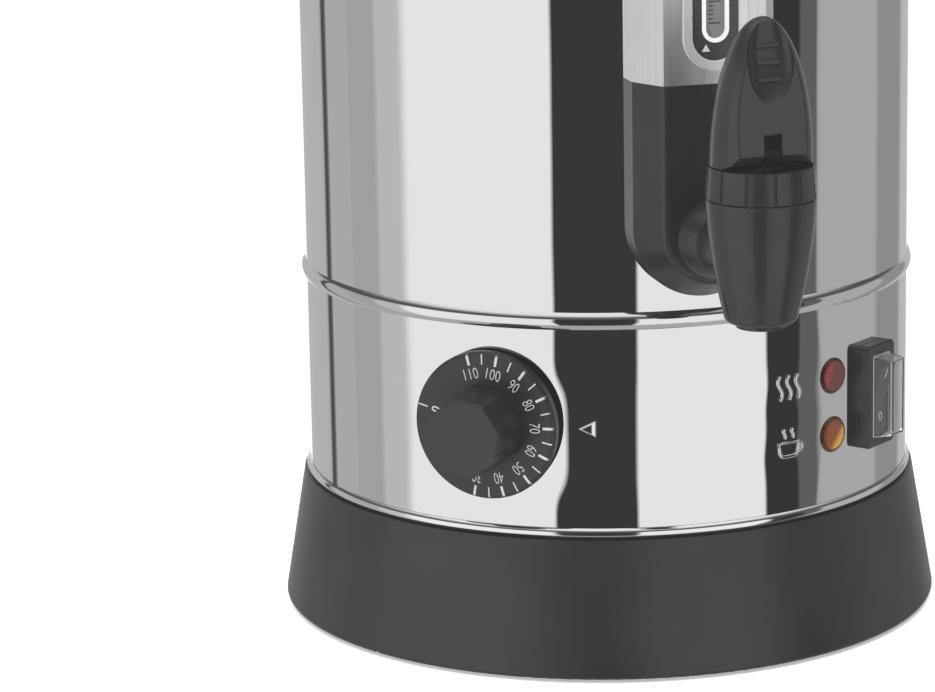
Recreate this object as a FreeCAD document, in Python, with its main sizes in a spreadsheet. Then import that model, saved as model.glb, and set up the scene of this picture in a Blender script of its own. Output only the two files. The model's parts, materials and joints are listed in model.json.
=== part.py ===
import FreeCAD, Part
import math
import os

import Sketcher

# Mulled wine urn: a heated stainless steel tank on a black plastic base, with a thermostat knob, a splash-proof
# rocker switch and two pilot lamps low on its front, a sight gauge up the front, and a lever tap below the gauge.
# +Z is up, the front (gauge and tap) faces -Y, and the origin is on the tank's axis at the level of the feet.
# A piece low on the front has an azimuth, counted from the front towards +X, and a height.

Vector = FreeCAD.Vector
doc = FreeCAD.newDocument("urn")

# Driving sizes, in millimetres and degrees: name, value, what it is.
SIZES = (
    ("shell_radius", 120, "outside of the tank wall and of the lower shell"),
    ("shell_wall", 0.8, "sheet thickness of tank, lower shell and lid"),
    ("tank_floor", 141, "underside of the tank's floor above the feet"),
    ("tank_top", 372, "top of the rolled rim above the feet"),
    ("rim_height", 4.8, "height of the rolled rim"),
    ("rim_roll", 2.6, "radius of the roll of the rim"),
    ("bead_height", 6.5, "height of the bead that hides the seam below the tank"),
    ("bead_roll", 4.5, "radius of the bead's bulge"),
    ("bead_lap", 1.2, "reach of the bead above the folded seam"),
    ("bead_edge", 0.5, "thickness of the bead at its lower edge"),
    ("fold_width", 3, "width of the folded seam under the tank's floor"),
    ("fold_depth", 1.7, "depth of the folded seam below the floor"),
    ("contact", 0.05, "gap between curved faces that sit against each other"),
    ("running", 0.05, "radial clearance of a shaft or pin in its hole"),
    ("base_spread", 11, "reach of the base's foot outside the shell"),
    ("neck_overhang", 2.4, "reach of the base's top outside the shell"),
    ("base_top", 53.4, "top of the base above the feet"),
    ("base_gap", 1, "gap below the base's edge"),
    ("base_wall", 3, "thickness of the base moulding"),
    ("base_round", 2, "radius of the base's lower outer edge"),
    ("ledge_width", 13, "width of the ledge that carries the lower shell"),
    ("notch_radius", 1.6, "radius of the three vent notches in the base's edge"),
    ("notch_azimuth", 60, "azimuth of the first vent notch"),
    ("plate_level", 4, "underside of the bottom plate above the feet"),
    ("plate_wall", 1.2, "thickness of the bottom plate"),
    ("plate_gap", 1.5, "gap between the bottom plate and the base"),
    ("boss_radius", 5, "radius of a screw boss in the base"),
    ("boss_inset", 17, "distance of the screw bosses inside the base's foot"),
    ("screw_radius", 1.8, "radius of a base screw's shank"),
    ("screw_head", 3.6, "radius of a base screw's head"),
    ("foot_radius", 8, "radius of a rubber foot"),
    ("foot_inset", 27, "distance of the feet inside the base's foot"),
    ("foot_edge", 1, "radius of a foot's lower edge"),
    ("foot_stem", 3, "radius of a foot's stem"),
    ("vent_radius", 3, "radius of a vent hole in the bottom plate"),
    ("vent_inset", 50, "distance of the vent holes inside the tank wall"),
    ("vents", 24, "number of vent holes"),
    ("trim_height", 4.2, "height of the bright ring between shell and base"),
    ("trim_roll", 2.6, "radius of the bright ring's bulge"),
    ("trim_lip", 0.35, "thickness of the bright ring at its edges"),
    ("gland_height", 27, "height of the cord gland above the feet"),
    ("gland_radius", 8, "radius of the cord gland's barrel"),
    ("gland_flange", 11.5, "radius of the cord gland's flange and nut"),
    ("gland_bore", 3.9, "bore of the cord gland"),
    ("gland_flange_thickness", 3.5, "thickness of the cord gland's flange"),
    ("gland_nut_thickness", 6, "thickness of the gland's nut"),
    ("gland_tail", 3, "reach of the cord gland behind its nut"),
    ("gland_boss", 14.5, "radius of the flat pad behind the cord gland"),
    ("control_height", 97, "height of the knob and the switch above the feet"),
    ("knob_arc", 79.15, "distance of the knob to the left of the front, along the shell"),
    ("dial_radius", 28.3, "radius of the knob's dial"),
    ("dial_face", 6, "distance of the dial's face from the shell"),
    ("dial_thickness", 4.4, "thickness of the dial's rim"),
    ("dial_lip", 4, "width of the dial's rim behind its recess"),
    ("dial_recess", 1.8, "depth of the recess in the dial's back"),
    ("dial_round", 1.6, "radius of the dial's front edge"),
    ("spigot_radius", 10, "radius of the grip's spigot in the dial"),
    ("grip_radius", 16.2, "distance of the grip's corners from its axis, at the dial"),
    ("grip_length", 20.5, "length of the grip in front of the dial"),
    ("grip_draft", 2.5, "taper of the grip, in degrees"),
    ("grip_round", 0.8, "radius of the grip's front edges"),
    ("grip_twist", 13, "angle of the grip's first corner"),
    ("shaft_radius", 3, "radius of the thermostat's shaft"),
    ("shaft_inset", 8, "distance of the blind end of the shaft's hole from the thermostat's back"),
    ("shaft_cover", 5, "thickness of the grip in front of the shaft's end"),
    ("thermostat_width", 34, "width of the thermostat's body"),
    ("thermostat_tall", 32, "height of the thermostat's body"),
    ("thermostat_depth", 27, "depth of the thermostat's body"),
    ("thermostat_gap", 4, "gap between the thermostat's body and the shell"),
    ("fixing_spread", 14, "distance of the thermostat's screws from its shaft"),
    ("fixing_radius", 2, "radius of a small machine screw"),
    ("fixing_depth", 6, "depth of the small screws' holes in the thermostat"),
    ("bulb_radius", 3, "radius of the thermostat's sensor bulb"),
    ("bulb_length", 70, "length of the sensor bulb"),
    ("bulb_inset", 30, "distance of the sensor bulb inside the tank wall"),
    ("clip_length", 4, "length of such a clip along the bulb"),
    ("clip_wall", 0.8, "thickness of the clips that hold the sensor bulb"),
    ("capillary_radius", 0.9, "radius of the capillary tube"),
    ("capillary_bend", 4, "bend radius of the capillary tube"),
    ("capillary_level", 10, "distance of the capillary tube in front of the thermostat's back"),
    ("capillary_drop", 9, "drop of the capillary tube below the sensor bulb"),
    ("capillary_reach", 14, "reach of the capillary tube past the end of the bulb"),
    ("lamp_arc", 60.95, "distance of the pilot lamps to the right of the front, along the shell"),
    ("heating_lamp_height", 106.9, "height of the red lamp above the feet"),
    ("warm_lamp_height", 83.9, "height of the amber lamp above the feet"),
    ("lamp_radius", 7, "radius of a pilot lamp's lens"),
    ("lens_rim", 0.4, "height of a lens's straight rim"),
    ("lens_bevel", 0.6, "bevel of a lens's rim"),
    ("lens_dome", 0.4, "height of a lens's dome"),
    ("lamp_barrel", 5, "radius of a pilot lamp's threaded barrel"),
    ("spade_width", 6.3, "width of a spade terminal"),
    ("spade_thickness", 0.8, "thickness of a spade terminal"),
    ("spade_length", 8, "length of a spade terminal"),
    ("spade_pitch", 9, "distance between two spade terminals"),
    ("spade_drop", 6, "distance of the thermostat's terminals below its shaft"),
    ("lamp_nut_thickness", 4, "thickness of a pilot lamp's nut"),
    ("lamp_nut_rim", 2.5, "reach of a pilot lamp's nut outside its barrel"),
    ("lamp_depth", 24, "length of a pilot lamp behind the shell"),
    ("switch_arc", 79.8, "distance of the rocker switch to the right of the front, along the shell"),
    ("switch_width", 19.4, "width of the switch frame"),
    ("switch_tall", 40.2, "height of the switch frame"),
    ("switch_rise", 9, "distance of the switch frame's face from the shell"),
    ("flange_rise", 4, "distance of the groove round the switch frame from the shell"),
    ("frame_groove", 0.5, "width and depth of the groove round the switch frame"),
    ("frame_edge", 0.8, "radius of the switch frame's front edges"),
    ("front_wall", 2, "thickness of the switch frame's face"),
    ("frame_round", 2, "corner radius of the switch frame"),
    ("opening_width", 9.2, "width of the opening in the switch frame"),
    ("opening_tall", 29.4, "height of the opening in the switch frame"),
    ("housing_width", 12.2, "width of the switch's inner housing"),
    ("housing_tall", 33, "height of the switch's inner housing"),
    ("housing_depth", 26, "depth of the switch's inner housing behind the shell"),
    ("key_gap", 0.3, "gap between the rocker key and its opening"),
    ("key_tilt", 8, "angle of the rocker key from its middle to either side"),
    ("key_pivot", 4.5, "distance of the rocker's pivot behind the frame's face"),
    ("pivot_radius", 1.2, "radius of the rocker's pivot pins"),
    ("pivot_length", 0.9, "length of a pivot pin in the switch's housing"),
    ("key_foot", 2, "depth of the rocker key below its pivot"),
    ("key_room", 8, "depth of the room behind the rocker's pivot"),
    ("boot_rise", 7.2, "distance of the clear boot's face from the frame's face"),
    ("boot_wall", 0.6, "thickness of the clear boot"),
    ("boot_margin", 1.35, "distance of the boot's foot outside the frame's opening"),
    ("boot_draft", 12, "inward lean of the boot's sides, in degrees"),
    ("gauge_foot", 24.7, "reach of the gauge housing below the tap's shank"),
    ("gauge_drop", 15, "distance of the gauge's upper end below the rim"),
    ("seam_rise", 56.6, "distance of the seam between housing and brushed cover above the tap's shank"),
    ("cap_height", 27, "height of the gauge's top cap"),
    ("gauge_half_width", 27, "half the width of the gauge housing at its sides"),
    ("face_half_width", 19.4, "half the width of the gauge housing's front face"),
    ("fold_round", 2.5, "radius of the edge of the black housing's front face"),
    ("gauge_side", 7.8, "depth of the gauge housing's sides in front of the tank"),
    ("gauge_depth", 22.1, "distance of the gauge's front face from the tank"),
    ("gauge_wall", 2.2, "thickness of the black gauge housing"),
    ("cover_wall", 1, "thickness of the brushed gauge cover"),
    ("window_foot", 4.8, "distance of the window frame above the cover's lower edge"),
    ("window_head", 4, "distance of the window frame below the cover's upper edge"),
    ("frame_half_width", 12.4, "half the width of the window frame"),
    ("panel_half_width", 8.65, "half the width of the black panel in the window"),
    ("slot_half_width", 5.1, "half the width of the white slot border"),
    ("slot_border", 1.5, "width of the slot border"),
    ("slot_inset", 6.5, "distance from the panel's ends to the slot border"),
    ("frame_rise", 1.1, "height of the window frame above the cover"),
    ("panel_thickness", 1.5, "thickness of the black panel"),
    ("tube_radius", 5, "radius of the sight tube"),
    ("tube_wall", 1.2, "wall of the sight tube"),
    ("tube_distance", 11, "distance of the sight tube's axis from the tank wall"),
    ("branch_wall", 1.2, "wall of the shank's branch for the sight tube"),
    ("tube_rise", 16, "distance of the sight tube's lower end above the tap's shank"),
    ("tube_head", 14, "distance of the sight tube's upper end below the gauge's top"),
    ("seal_wall", 1.6, "thickness of a tube seal"),
    ("seal_height", 5, "height of a tube seal"),
    ("air_hole", 0.8, "radius of the hole that lets air out of the sight tube"),
    ("cap_screw_drop", 8, "distance of the gauge cap's screw below the gauge's top"),
    ("tap_rise", 31, "height of the tap's shank above the tank's floor"),
    ("tap_reach", 73, "distance of the tap's axis from the tank wall"),
    ("shank_radius", 8, "radius of the tap's shank"),
    ("shank_bore", 5, "bore of the tap's shank"),
    ("shank_inside", 16, "length of the shank inside the tank"),
    ("collar_radius", 13, "radius of the shank's collar against the gasket"),
    ("collar_thickness", 3, "thickness of the shank's collar"),
    ("gasket_thickness", 1.6, "thickness of a gasket at the tank wall"),
    ("nut_radius", 14.5, "distance of the tank nut's corners from its axis"),
    ("nut_thickness", 7, "thickness of the tank nut"),
    ("escutcheon_radius", 15, "radius of the tap's cover ring at the gauge housing"),
    ("escutcheon_length", 10, "length of the tap's cover ring"),
    ("escutcheon_rim", 2, "thickness of the cover ring's rim"),
    ("escutcheon_bow", 30, "radius of the cover ring's flank"),
    ("socket_radius", 10.6, "radius of the tap body's socket"),
    ("barrel_radius", 19.6, "radius of the tap body at its top"),
    ("barrel_rise", 24.4, "height of the seam between tap body and bonnet above the tap's shank"),
    ("barrel_foot_radius", 13.3, "radius of the tap body above its rounded foot"),
    ("foot_drop", 17.2, "distance of the tap body's rounded foot below the tap's shank"),
    ("barrel_bow", 200, "radius of the tap body's bowed side"),
    ("foot_round", 3.2, "radius of the tap body's rounded foot"),
    ("spout_radius", 8.8, "radius of the spout"),
    ("spout_bore", 7, "bore of the spout"),
    ("spout_drop", 22, "distance of the spout's end below the tap's shank"),
    ("barrel_bore", 13.5, "bore of the tap body above the valve seat"),
    ("seat_drop", 6, "distance of the valve seat below the tap's shank"),
    ("seat_thickness", 6, "thickness of the floor that holds the valve seat"),
    ("seat_bore", 5.5, "bore of the valve seat"),
    ("bonnet_spigot", 7, "depth of the bonnet's spigot in the tap body"),
    ("bonnet_rise", 36, "height of the bonnet's top above the tap's shank"),
    ("bonnet_top_radius", 18.7, "radius of the bonnet at its top"),
    ("bonnet_recess", 16.4, "radius of the recess in the bonnet's top"),
    ("bonnet_floor_wall", 3, "thickness of the floor under the bonnet's recess"),
    ("recess_depth", 9, "depth of the recess in the bonnet's top"),
    ("bonnet_grooves", 12, "number of grooves round the bonnet"),
    ("groove_lean", 4.4, "inward lean of the bonnet's grooves, in degrees"),
    ("groove_turn", 3.6, "angle of the first groove to the left of the front"),
    ("seam_groove", 0.4, "width of the chamfers that mark the seam under the bonnet"),
    ("groove_radius", 0.6, "radius of a bonnet groove"),
    ("pin_drop", 4.5, "distance of the lever's pin below the bonnet's top"),
    ("pin_radius", 1.5, "radius of the lever's pin"),
    ("lever_length", 52.2, "height of the lever above the bonnet"),
    ("lever_radius", 18.2, "half the width of the lever at its foot"),
    ("lever_gap", 0.4, "gap between the lever and the bonnet"),
    ("lever_wall", 2.6, "thickness of the lever's hollow foot"),
    ("lever_lean", 2.5, "forward lean of the lever, in degrees"),
    ("lever_tilt", 22, "forward tilt that opens the tap, in degrees"),
    ("lever_face", 14, "distance of the lever's flat face from the tap's axis"),
    ("lever_face_lean", 5, "backward lean of the lever's flat face, in degrees"),
    ("relief_start", 7, "distance in front of the tap's axis where the lever's lower edge starts to rise"),
    ("relief_angle", 25, "angle of the lever's lower edge in front of that place"),
    ("relief_front", 9.6, "distance where the lower edge starts to rise steeply"),
    ("relief_front_angle", 52, "angle of that steep part of the lever's lower edge"),
    ("face_round", 1.5, "radius of the edge of the lever's flat face"),
    ("lever_hollow", 14, "depth of the hollow in the lever's foot"),
    ("heel_reach", 7.8, "distance of the lever's rounded heel in front of its pin"),
    ("thumb_half_width", 8.4, "half the width of the thumb recess"),
    ("thumb_half_tall", 17, "half the height of the thumb recess's hollow"),
    ("thumb_depth", 4, "depth of the thumb recess"),
    ("thumb_lean", 8, "angle that makes the thumb recess deeper at its upper end"),
    ("ridge_pitch", 5.9, "distance between two ridges in the thumb recess"),
    ("ridge_length", 8.4, "length of a ridge in the thumb recess"),
    ("ridge_radius", 0.9, "radius of a ridge in the thumb recess"),
    ("thumb_height", 37.6, "height of the thumb recess above the bonnet"),
    ("notch_width", 6.6, "width of the notch in the lever's foot"),
    ("notch_level", 12.6, "top of the notch above the lever's foot"),
    ("hub_width", 18, "width of the lever's hub across its two cheeks"),
    ("cheek_depth", 7, "depth of the cheeks that join the hub to the hood"),
    ("cheek_back", 2.5, "distance of the cheeks' middle behind the tap's axis"),
    ("stem_radius", 2.5, "radius of the valve stem"),
    ("stem_width", 6, "width of the valve stem's flat head"),
    ("stem_gap", 0.3, "gap on each side of the valve stem's head in the lever"),
    ("valve_lift", 3, "lift of the valve when the lever is tilted"),
    ("cup_radius", 9, "radius of the rubber valve cup"),
    ("cup_height", 5, "height of the rubber valve cup"),
    ("cup_nose", 2, "reach of the valve cup into the seat"),
    ("spring_radius", 5.5, "radius of the valve spring's coil"),
    ("spring_wire", 0.5, "radius of the valve spring's wire"),
    ("spring_turns", 7, "number of turns of the valve spring"),
    ("heater_radius", 70, "radius of the heater's spreader plate"),
    ("heater_thickness", 5, "thickness of the spreader plate"),
    ("heater_edge", 1, "bevel of the spreader plate's lower edge"),
    ("element_circle", 52, "radius of the heating element's ring"),
    ("element_radius", 4, "radius of the heating element's tube"),
    ("element_gap_angle", 40, "angle of the gap in the heating element's ring"),
    ("element_leg", 22, "length of the element's legs below its ring"),
    ("cold_pin", 9, "length of the pins at the element's ends"),
    ("bush_radius", 6, "radius of a ceramic bush on the element's legs"),
    ("bush_length", 8, "length of a ceramic bush"),
    ("cutout_width", 26, "width of the safety cut-out"),
    ("cutout_depth", 18, "depth of the safety cut-out"),
    ("cutout_tall", 16, "height of the safety cut-out"),
    ("cutout_x", 45, "place of the safety cut-out, to the right of the axis"),
    ("cutout_y", 55, "place of the safety cut-out, behind the axis"),
    ("reset_radius", 3, "radius of the reset button"),
    ("reset_collar", 5, "radius of the cut-out's collar in the bottom plate"),
    ("reset_travel", 1.4, "travel of the reset button"),
    ("block_width", 36, "width of the terminal block"),
    ("block_depth", 20, "depth of the terminal block"),
    ("block_tall", 16, "height of the terminal block"),
    ("block_y", 78, "distance of the terminal block behind the axis"),
    ("poles", 3, "number of poles of the terminal block"),
    ("lid_dome", 28, "height of the lid's dome above the rim"),
    ("lid_overhang", 3.2, "distance of the lid's edge outside the tank wall"),
    ("lid_edge", 2.2, "thickness of the lid's rolled edge"),
    ("lid_lip", 6, "depth of the lid's lip inside the tank"),
    ("lid_lip_gap", 0.9, "gap between the lid's lip and the tank wall"),
    ("lid_knob_radius", 19, "radius of the lid's knob"),
    ("lid_knob_height", 30, "height of the lid's knob"),
    ("lid_knob_brim", 3, "radius of the lid knob's lower edge"),
    ("lid_neck_radius", 9.5, "radius of the lid knob's neck"),
    ("lid_neck_height", 9, "height of the lid knob's neck"),
    ("lid_screw_radius", 2.5, "radius of the lid knob's screw"),
    ("handle_drop", 34, "distance of the side handles below the rim"),
    ("handle_reach", 34, "distance of the handle's bar from the tank wall"),
    ("handle_radius", 8, "radius of the handle's bar"),
    ("handle_span", 38, "angle between a handle's two arms, in degrees"),
    ("handle_foot", 12.5, "radius of a handle's foot"),
    ("handle_foot_depth", 7, "depth of a handle's foot"),
    ("wall_screw", 2.5, "radius of a screw through the tank wall"),
    ("screw_grip", 18, "reach of such a screw outside the tank wall"),
    ("screw_seal", 1.5, "thickness of the seal under such a screw's head"),
)


class Size:
    """A length or an angle, known both as a number and as a formula on the sheet's cells."""

    def __init__(self, value, text):
        self.value = float(value)
        self.text = text

    def __add__(self, other):
        other = size(other)
        return Size(self.value + other.value, f"({self.text} + {other.text})")

    def __sub__(self, other):
        other = size(other)
        return Size(self.value - other.value, f"({self.text} - {other.text})")

    def __mul__(self, other):
        other = size(other)
        return Size(self.value * other.value, f"({self.text} * {other.text})")

    def __truediv__(self, other):
        other = size(other)
        return Size(self.value / other.value, f"({self.text} / {other.text})")

    def __radd__(self, other):
        return size(other) + self

    def __rsub__(self, other):
        return size(other) - self

    def __rmul__(self, other):
        return size(other) * self

    def __neg__(self):
        return Size(-self.value, f"(-1 * {self.text})")


def size(value):
    """Makes a plain number a Size, and leaves a Size as it is."""
    if isinstance(value, Size):
        return value
    return Size(value, f"({float(value)})")


def root(value):
    return Size(math.sqrt(value.value), f"sqrt({value.text})")


def sine(angle):
    angle = size(angle)
    return Size(math.sin(math.radians(angle.value)), f"sin({angle.text})")


def cosine(angle):
    angle = size(angle)
    return Size(math.cos(math.radians(angle.value)), f"cos({angle.text})")


class Drawing:
    """Holds each named size of the sheet as an attribute."""


def fill_sheet():
    sheet = doc.addObject("Spreadsheet::Sheet", "Sheet")
    names = Drawing()
    for row, (name, value, meaning) in enumerate(SIZES, start=1):
        sheet.set(f"A{row}", meaning)
        sheet.set(f"B{row}", str(value))
        sheet.setAlias(f"B{row}", name)
        setattr(names, name, Size(value, f"Sheet.{name}"))
    return names


d = fill_sheet()
doc.recompute()


# Frames

class Frame:
    """A place and a direction, as a placement and as a formula."""

    def __init__(self, placement, text):
        self.placement = placement
        self.text = text

    def at(self, x=0, y=0, z=0, turn_x=0, turn_z=0):
        x, y, z, turn_x, turn_z = size(x), size(y), size(z), size(turn_x), size(turn_z)
        rotation = FreeCAD.Rotation(Vector(0, 0, 1), turn_z.value) * FreeCAD.Rotation(Vector(1, 0, 0), turn_x.value)
        move = FreeCAD.Placement(Vector(x.value, y.value, z.value), rotation)
        text = f"placement(vector({x.text}; {y.text}; {z.text}); rotationz({turn_z.text}) * rotationx({turn_x.text}))"
        return Frame(self.placement * move, f"{self.text} * {text}")


def upright(x=0, y=0, z=0, azimuth=0):
    """Stands on the tank's axis, turned so that its -Y looks towards the azimuth."""
    x, y, z, azimuth = size(x), size(y), size(z), size(azimuth)
    placement = FreeCAD.Placement(
        Vector(x.value, y.value, z.value), FreeCAD.Rotation(Vector(0, 0, 1), azimuth.value)
    )
    return Frame(placement, f"placement(vector({x.text}; {y.text}; {z.text}); rotationz({azimuth.text}))")


def radial(azimuth, height):
    """Looks out from the axis: x to the right, y up, and z outwards from the tank's axis."""
    return upright(z=height, azimuth=azimuth).at(turn_x=90)


def put(obj, frame):
    obj.Placement = frame.placement
    obj.setExpression("Placement", frame.text)
    return obj


# Sketches and bodies

def bind(obj, prop, value):
    obj.setExpression(prop, size(value).text)


def origin_feature(body, role):
    return [feature for feature in body.Origin.OriginFeatures if feature.Role == role][0]


def arc_through(start, end, radius):
    """A counter-clockwise arc, which bulges to the right of the way from start to end."""
    chord = end - start
    middle = (start + end) * 0.5
    right = Vector(chord.y, -chord.x, 0).normalize()
    rise = radius - math.sqrt(max(radius ** 2 - chord.Length ** 2 / 4, 0))
    return Part.Arc(start, middle + right * rise, end)


def add_loop(sketch, corners):
    """Draws a closed outline, counter-clockwise.

    A corner is (x, y), or (x, y, radius) where an arc arrives at it. The arc bulges outwards, and inwards where
    the radius is negative.
    """
    corners = [tuple(size(value) for value in corner) for corner in corners]
    points = [Vector(corner[0].value, corner[1].value, 0) for corner in corners]
    count = len(corners)
    edges = []
    ends = []
    for i in range(count):
        j = (i + 1) % count
        if len(corners[j]) > 2 and corners[j][2].value < 0:
            edge = sketch.addGeometry(arc_through(points[j], points[i], -corners[j][2].value))
            ends.append((2, 1))
        elif len(corners[j]) > 2:
            edge = sketch.addGeometry(arc_through(points[i], points[j], corners[j][2].value))
            ends.append((1, 2))
        else:
            edge = sketch.addGeometry(Part.LineSegment(points[i], points[j]))
            ends.append((1, 2))
        edges.append(edge)
    for i in range(count):
        j = (i + 1) % count
        sketch.addConstraint(Sketcher.Constraint("Coincident", edges[i], ends[i][1], edges[j], ends[j][0]))
    for i in range(count):
        for kind, value in (("DistanceX", corners[i][0]), ("DistanceY", corners[i][1])):
            rule = sketch.addConstraint(Sketcher.Constraint(kind, -1, 1, edges[i], ends[i][0], value.value))
            bind(sketch, f"Constraints[{rule}]", value)
        if len(corners[i]) > 2:
            radius = corners[i][2]
            radius = radius if radius.value > 0 else -radius
            rule = sketch.addConstraint(Sketcher.Constraint("Radius", edges[i - 1], radius.value))
            bind(sketch, f"Constraints[{rule}]", radius)


def add_circle(sketch, x, y, radius):
    x, y, radius = size(x), size(y), size(radius)
    edge = sketch.addGeometry(Part.Circle(Vector(x.value, y.value, 0), Vector(0, 0, 1), radius.value))
    for kind, value in (("DistanceX", x), ("DistanceY", y)):
        rule = sketch.addConstraint(Sketcher.Constraint(kind, -1, 1, edge, 3, value.value))
        bind(sketch, f"Constraints[{rule}]", value)
    rule = sketch.addConstraint(Sketcher.Constraint("Radius", edge, radius.value))
    bind(sketch, f"Constraints[{rule}]", radius)


def new_sketch(body, plane, start, loops, circles):
    sketch = body.newObject("Sketcher::SketchObject", "Sketch")
    sketch.AttachmentSupport = [(origin_feature(body, plane), "")]
    sketch.MapMode = "FlatFace"
    sketch.AttachmentOffset = FreeCAD.Placement(Vector(0, 0, size(start).value), FreeCAD.Rotation())
    bind(sketch, "AttachmentOffset.Base.z", start)
    for loop in loops:
        add_loop(sketch, loop)
    for circle in circles:
        add_circle(sketch, *circle)
    return sketch


def new_body(label, frame):
    body = doc.addObject("PartDesign::Body", label)
    body.Label = label
    return put(body, frame)


def revolve(body, corners):
    sketch = new_sketch(body, "XZ_Plane", 0, [corners], [])
    feature = body.newObject("PartDesign::Revolution", "Revolution")
    feature.Profile = sketch
    feature.ReferenceAxis = (sketch, ["V_Axis"])
    feature.Angle = 360
    return feature


def turned(label, frame, corners):
    """A body turned about its own Z axis: corners are (radius, height)."""
    body = new_body(label, frame)
    revolve(body, corners)
    return body


def dome_radius(half_width, rise):
    """The radius of an arc that is level at the axis and falls by the rise at the half width."""
    return (half_width * half_width + rise * rise) / (rise * 2)


def pad(body, start, length, loops=(), circles=(), taper=0, plane="XY_Plane"):
    feature = body.newObject("PartDesign::Pad", "Pad")
    feature.Profile = new_sketch(body, plane, start, loops, circles)
    bind(feature, "Length", length)
    bind(feature, "TaperAngle", taper)
    return feature


def pocket(body, start, length, loops=(), circles=(), plane="XY_Plane"):
    """Cuts from the start level upwards along the sketch's normal."""
    feature = body.newObject("PartDesign::Pocket", "Pocket")
    feature.Profile = new_sketch(body, plane, start, loops, circles)
    feature.Reversed = True
    bind(feature, "Length", length)
    return feature


def around(body, feature, count):
    pattern = body.newObject("PartDesign::PolarPattern", "PolarPattern")
    pattern.Originals = [feature]
    pattern.Axis = (origin_feature(body, "Z_Axis"), [""])
    pattern.Angle = 360
    bind(pattern, "Occurrences", count)
    body.Tip = pattern
    return pattern


def rounded(body, radius, wanted):
    """Rounds each edge of the body so far that the function wanted picks."""
    doc.recompute()
    base = body.Tip
    names = [f"Edge{i}" for i, edge in enumerate(base.Shape.Edges, start=1) if wanted(edge)]
    fillet = body.newObject("PartDesign::Fillet", "Fillet")
    fillet.Base = (base, names)
    bind(fillet, "Radius", radius)
    return fillet


def padded_body(label, frame, start, length, loops=(), circles=(), taper=0):
    body = new_body(label, frame)
    pad(body, start, length, loops, circles, taper)
    return body


def rectangle(width, tall, x=0, y=0):
    x, y = size(x), size(y)
    return [
        (x - width / 2, y - tall / 2), (x + width / 2, y - tall / 2),
        (x + width / 2, y + tall / 2), (x - width / 2, y + tall / 2),
    ]


def rounded_rectangle(width, tall, radius):
    right, top = width / 2, tall / 2
    return [
        (-right + radius, -top, radius), (right - radius, -top), (right, -top + radius, radius),
        (right, top - radius), (right - radius, top, radius), (-right + radius, top),
        (-right, top - radius, radius), (-right, -top + radius),
    ]


def slot(half_width, bottom, top):
    """An upright slot with round ends."""
    return [
        (half_width, bottom + half_width, half_width), (half_width, top - half_width),
        (0, top, half_width), (-half_width, top - half_width, half_width),
        (-half_width, bottom + half_width), (0, bottom, half_width),
    ]


def polygon(radius, sides, first_angle=0):
    corners = []
    for i in range(sides):
        angle = size(first_angle) + 360 / sides * i
        corners.append((radius * cosine(angle), radius * sine(angle)))
    return corners


# Solids made of primitives

def primitive(kind, frame, **sizes):
    obj = doc.addObject(kind, kind.split("::")[1])
    for prop, value in sizes.items():
        bind(obj, prop, value)
    return put(obj, frame)


def cylinder(frame, radius, length):
    return primitive("Part::Cylinder", frame, Radius=radius, Height=length)


def cone(frame, radius, end_radius, length):
    return primitive("Part::Cone", frame, Radius1=radius, Radius2=end_radius, Height=length)


def sphere(frame, radius):
    return primitive("Part::Sphere", frame, Radius=radius)


def block(frame, width, depth, tall):
    """A box centred on the frame's x and y, standing on its z."""
    return primitive("Part::Box", frame.at(-width / 2, -depth / 2), Length=width, Width=depth, Height=tall)


def named(label, obj):
    obj.Label = label
    return obj


def fuse(label, *shapes):
    obj = doc.addObject("Part::MultiFuse", label)
    obj.Shapes = list(shapes)
    return named(label, obj)


def compound(label, shapes):
    obj = doc.addObject("Part::Compound", label)
    obj.Links = list(shapes)
    return named(label, obj)


def cut(label, base, *tools):
    obj = doc.addObject("Part::Cut", label)
    obj.Base = base
    obj.Tool = tools[0] if len(tools) == 1 else compound(f"{label}_tools", tools)
    return named(label, obj)


def common(label, first, second):
    obj = doc.addObject("Part::MultiCommon", label)
    obj.Shapes = [first, second]
    return named(label, obj)


def tube_along(label, points, radius, bend):
    """A round tube along straight runs joined by tangent arcs of the same bend radius."""
    edges = []
    start = points[0]
    for before, corner, after in zip(points, points[1:], points[2:]):
        arriving = (corner - before).normalize()
        leaving = (after - corner).normalize()
        half_turn = arriving.getAngle(leaving) / 2
        reach = bend * math.tan(half_turn)
        inward = (leaving - arriving).normalize()
        middle = corner + inward * (bend / math.cos(half_turn) - bend)
        edges.append(Part.LineSegment(start, corner - arriving * reach).toShape())
        edges.append(Part.Arc(corner - arriving * reach, middle, corner + leaving * reach).toShape())
        start = corner + leaving * reach
    edges.append(Part.LineSegment(start, points[-1]).toShape())
    path = Part.Wire(edges)
    section = Part.Wire(Part.Circle(points[0], points[1] - points[0], radius).toShape())
    obj = doc.addObject("Part::Feature", label)
    obj.Shape = path.makePipeShell([section], True, False)
    volume = math.pi * radius ** 2 * path.Length
    print(label, "length", round(path.Length, 1), "volume share", round(obj.Shape.Volume / volume, 3))
    return named(label, obj)


parts = []


def keep(obj):
    """Marks a finished sub-part, which is written to a file of its own."""
    parts.append(obj)
    return obj


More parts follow.
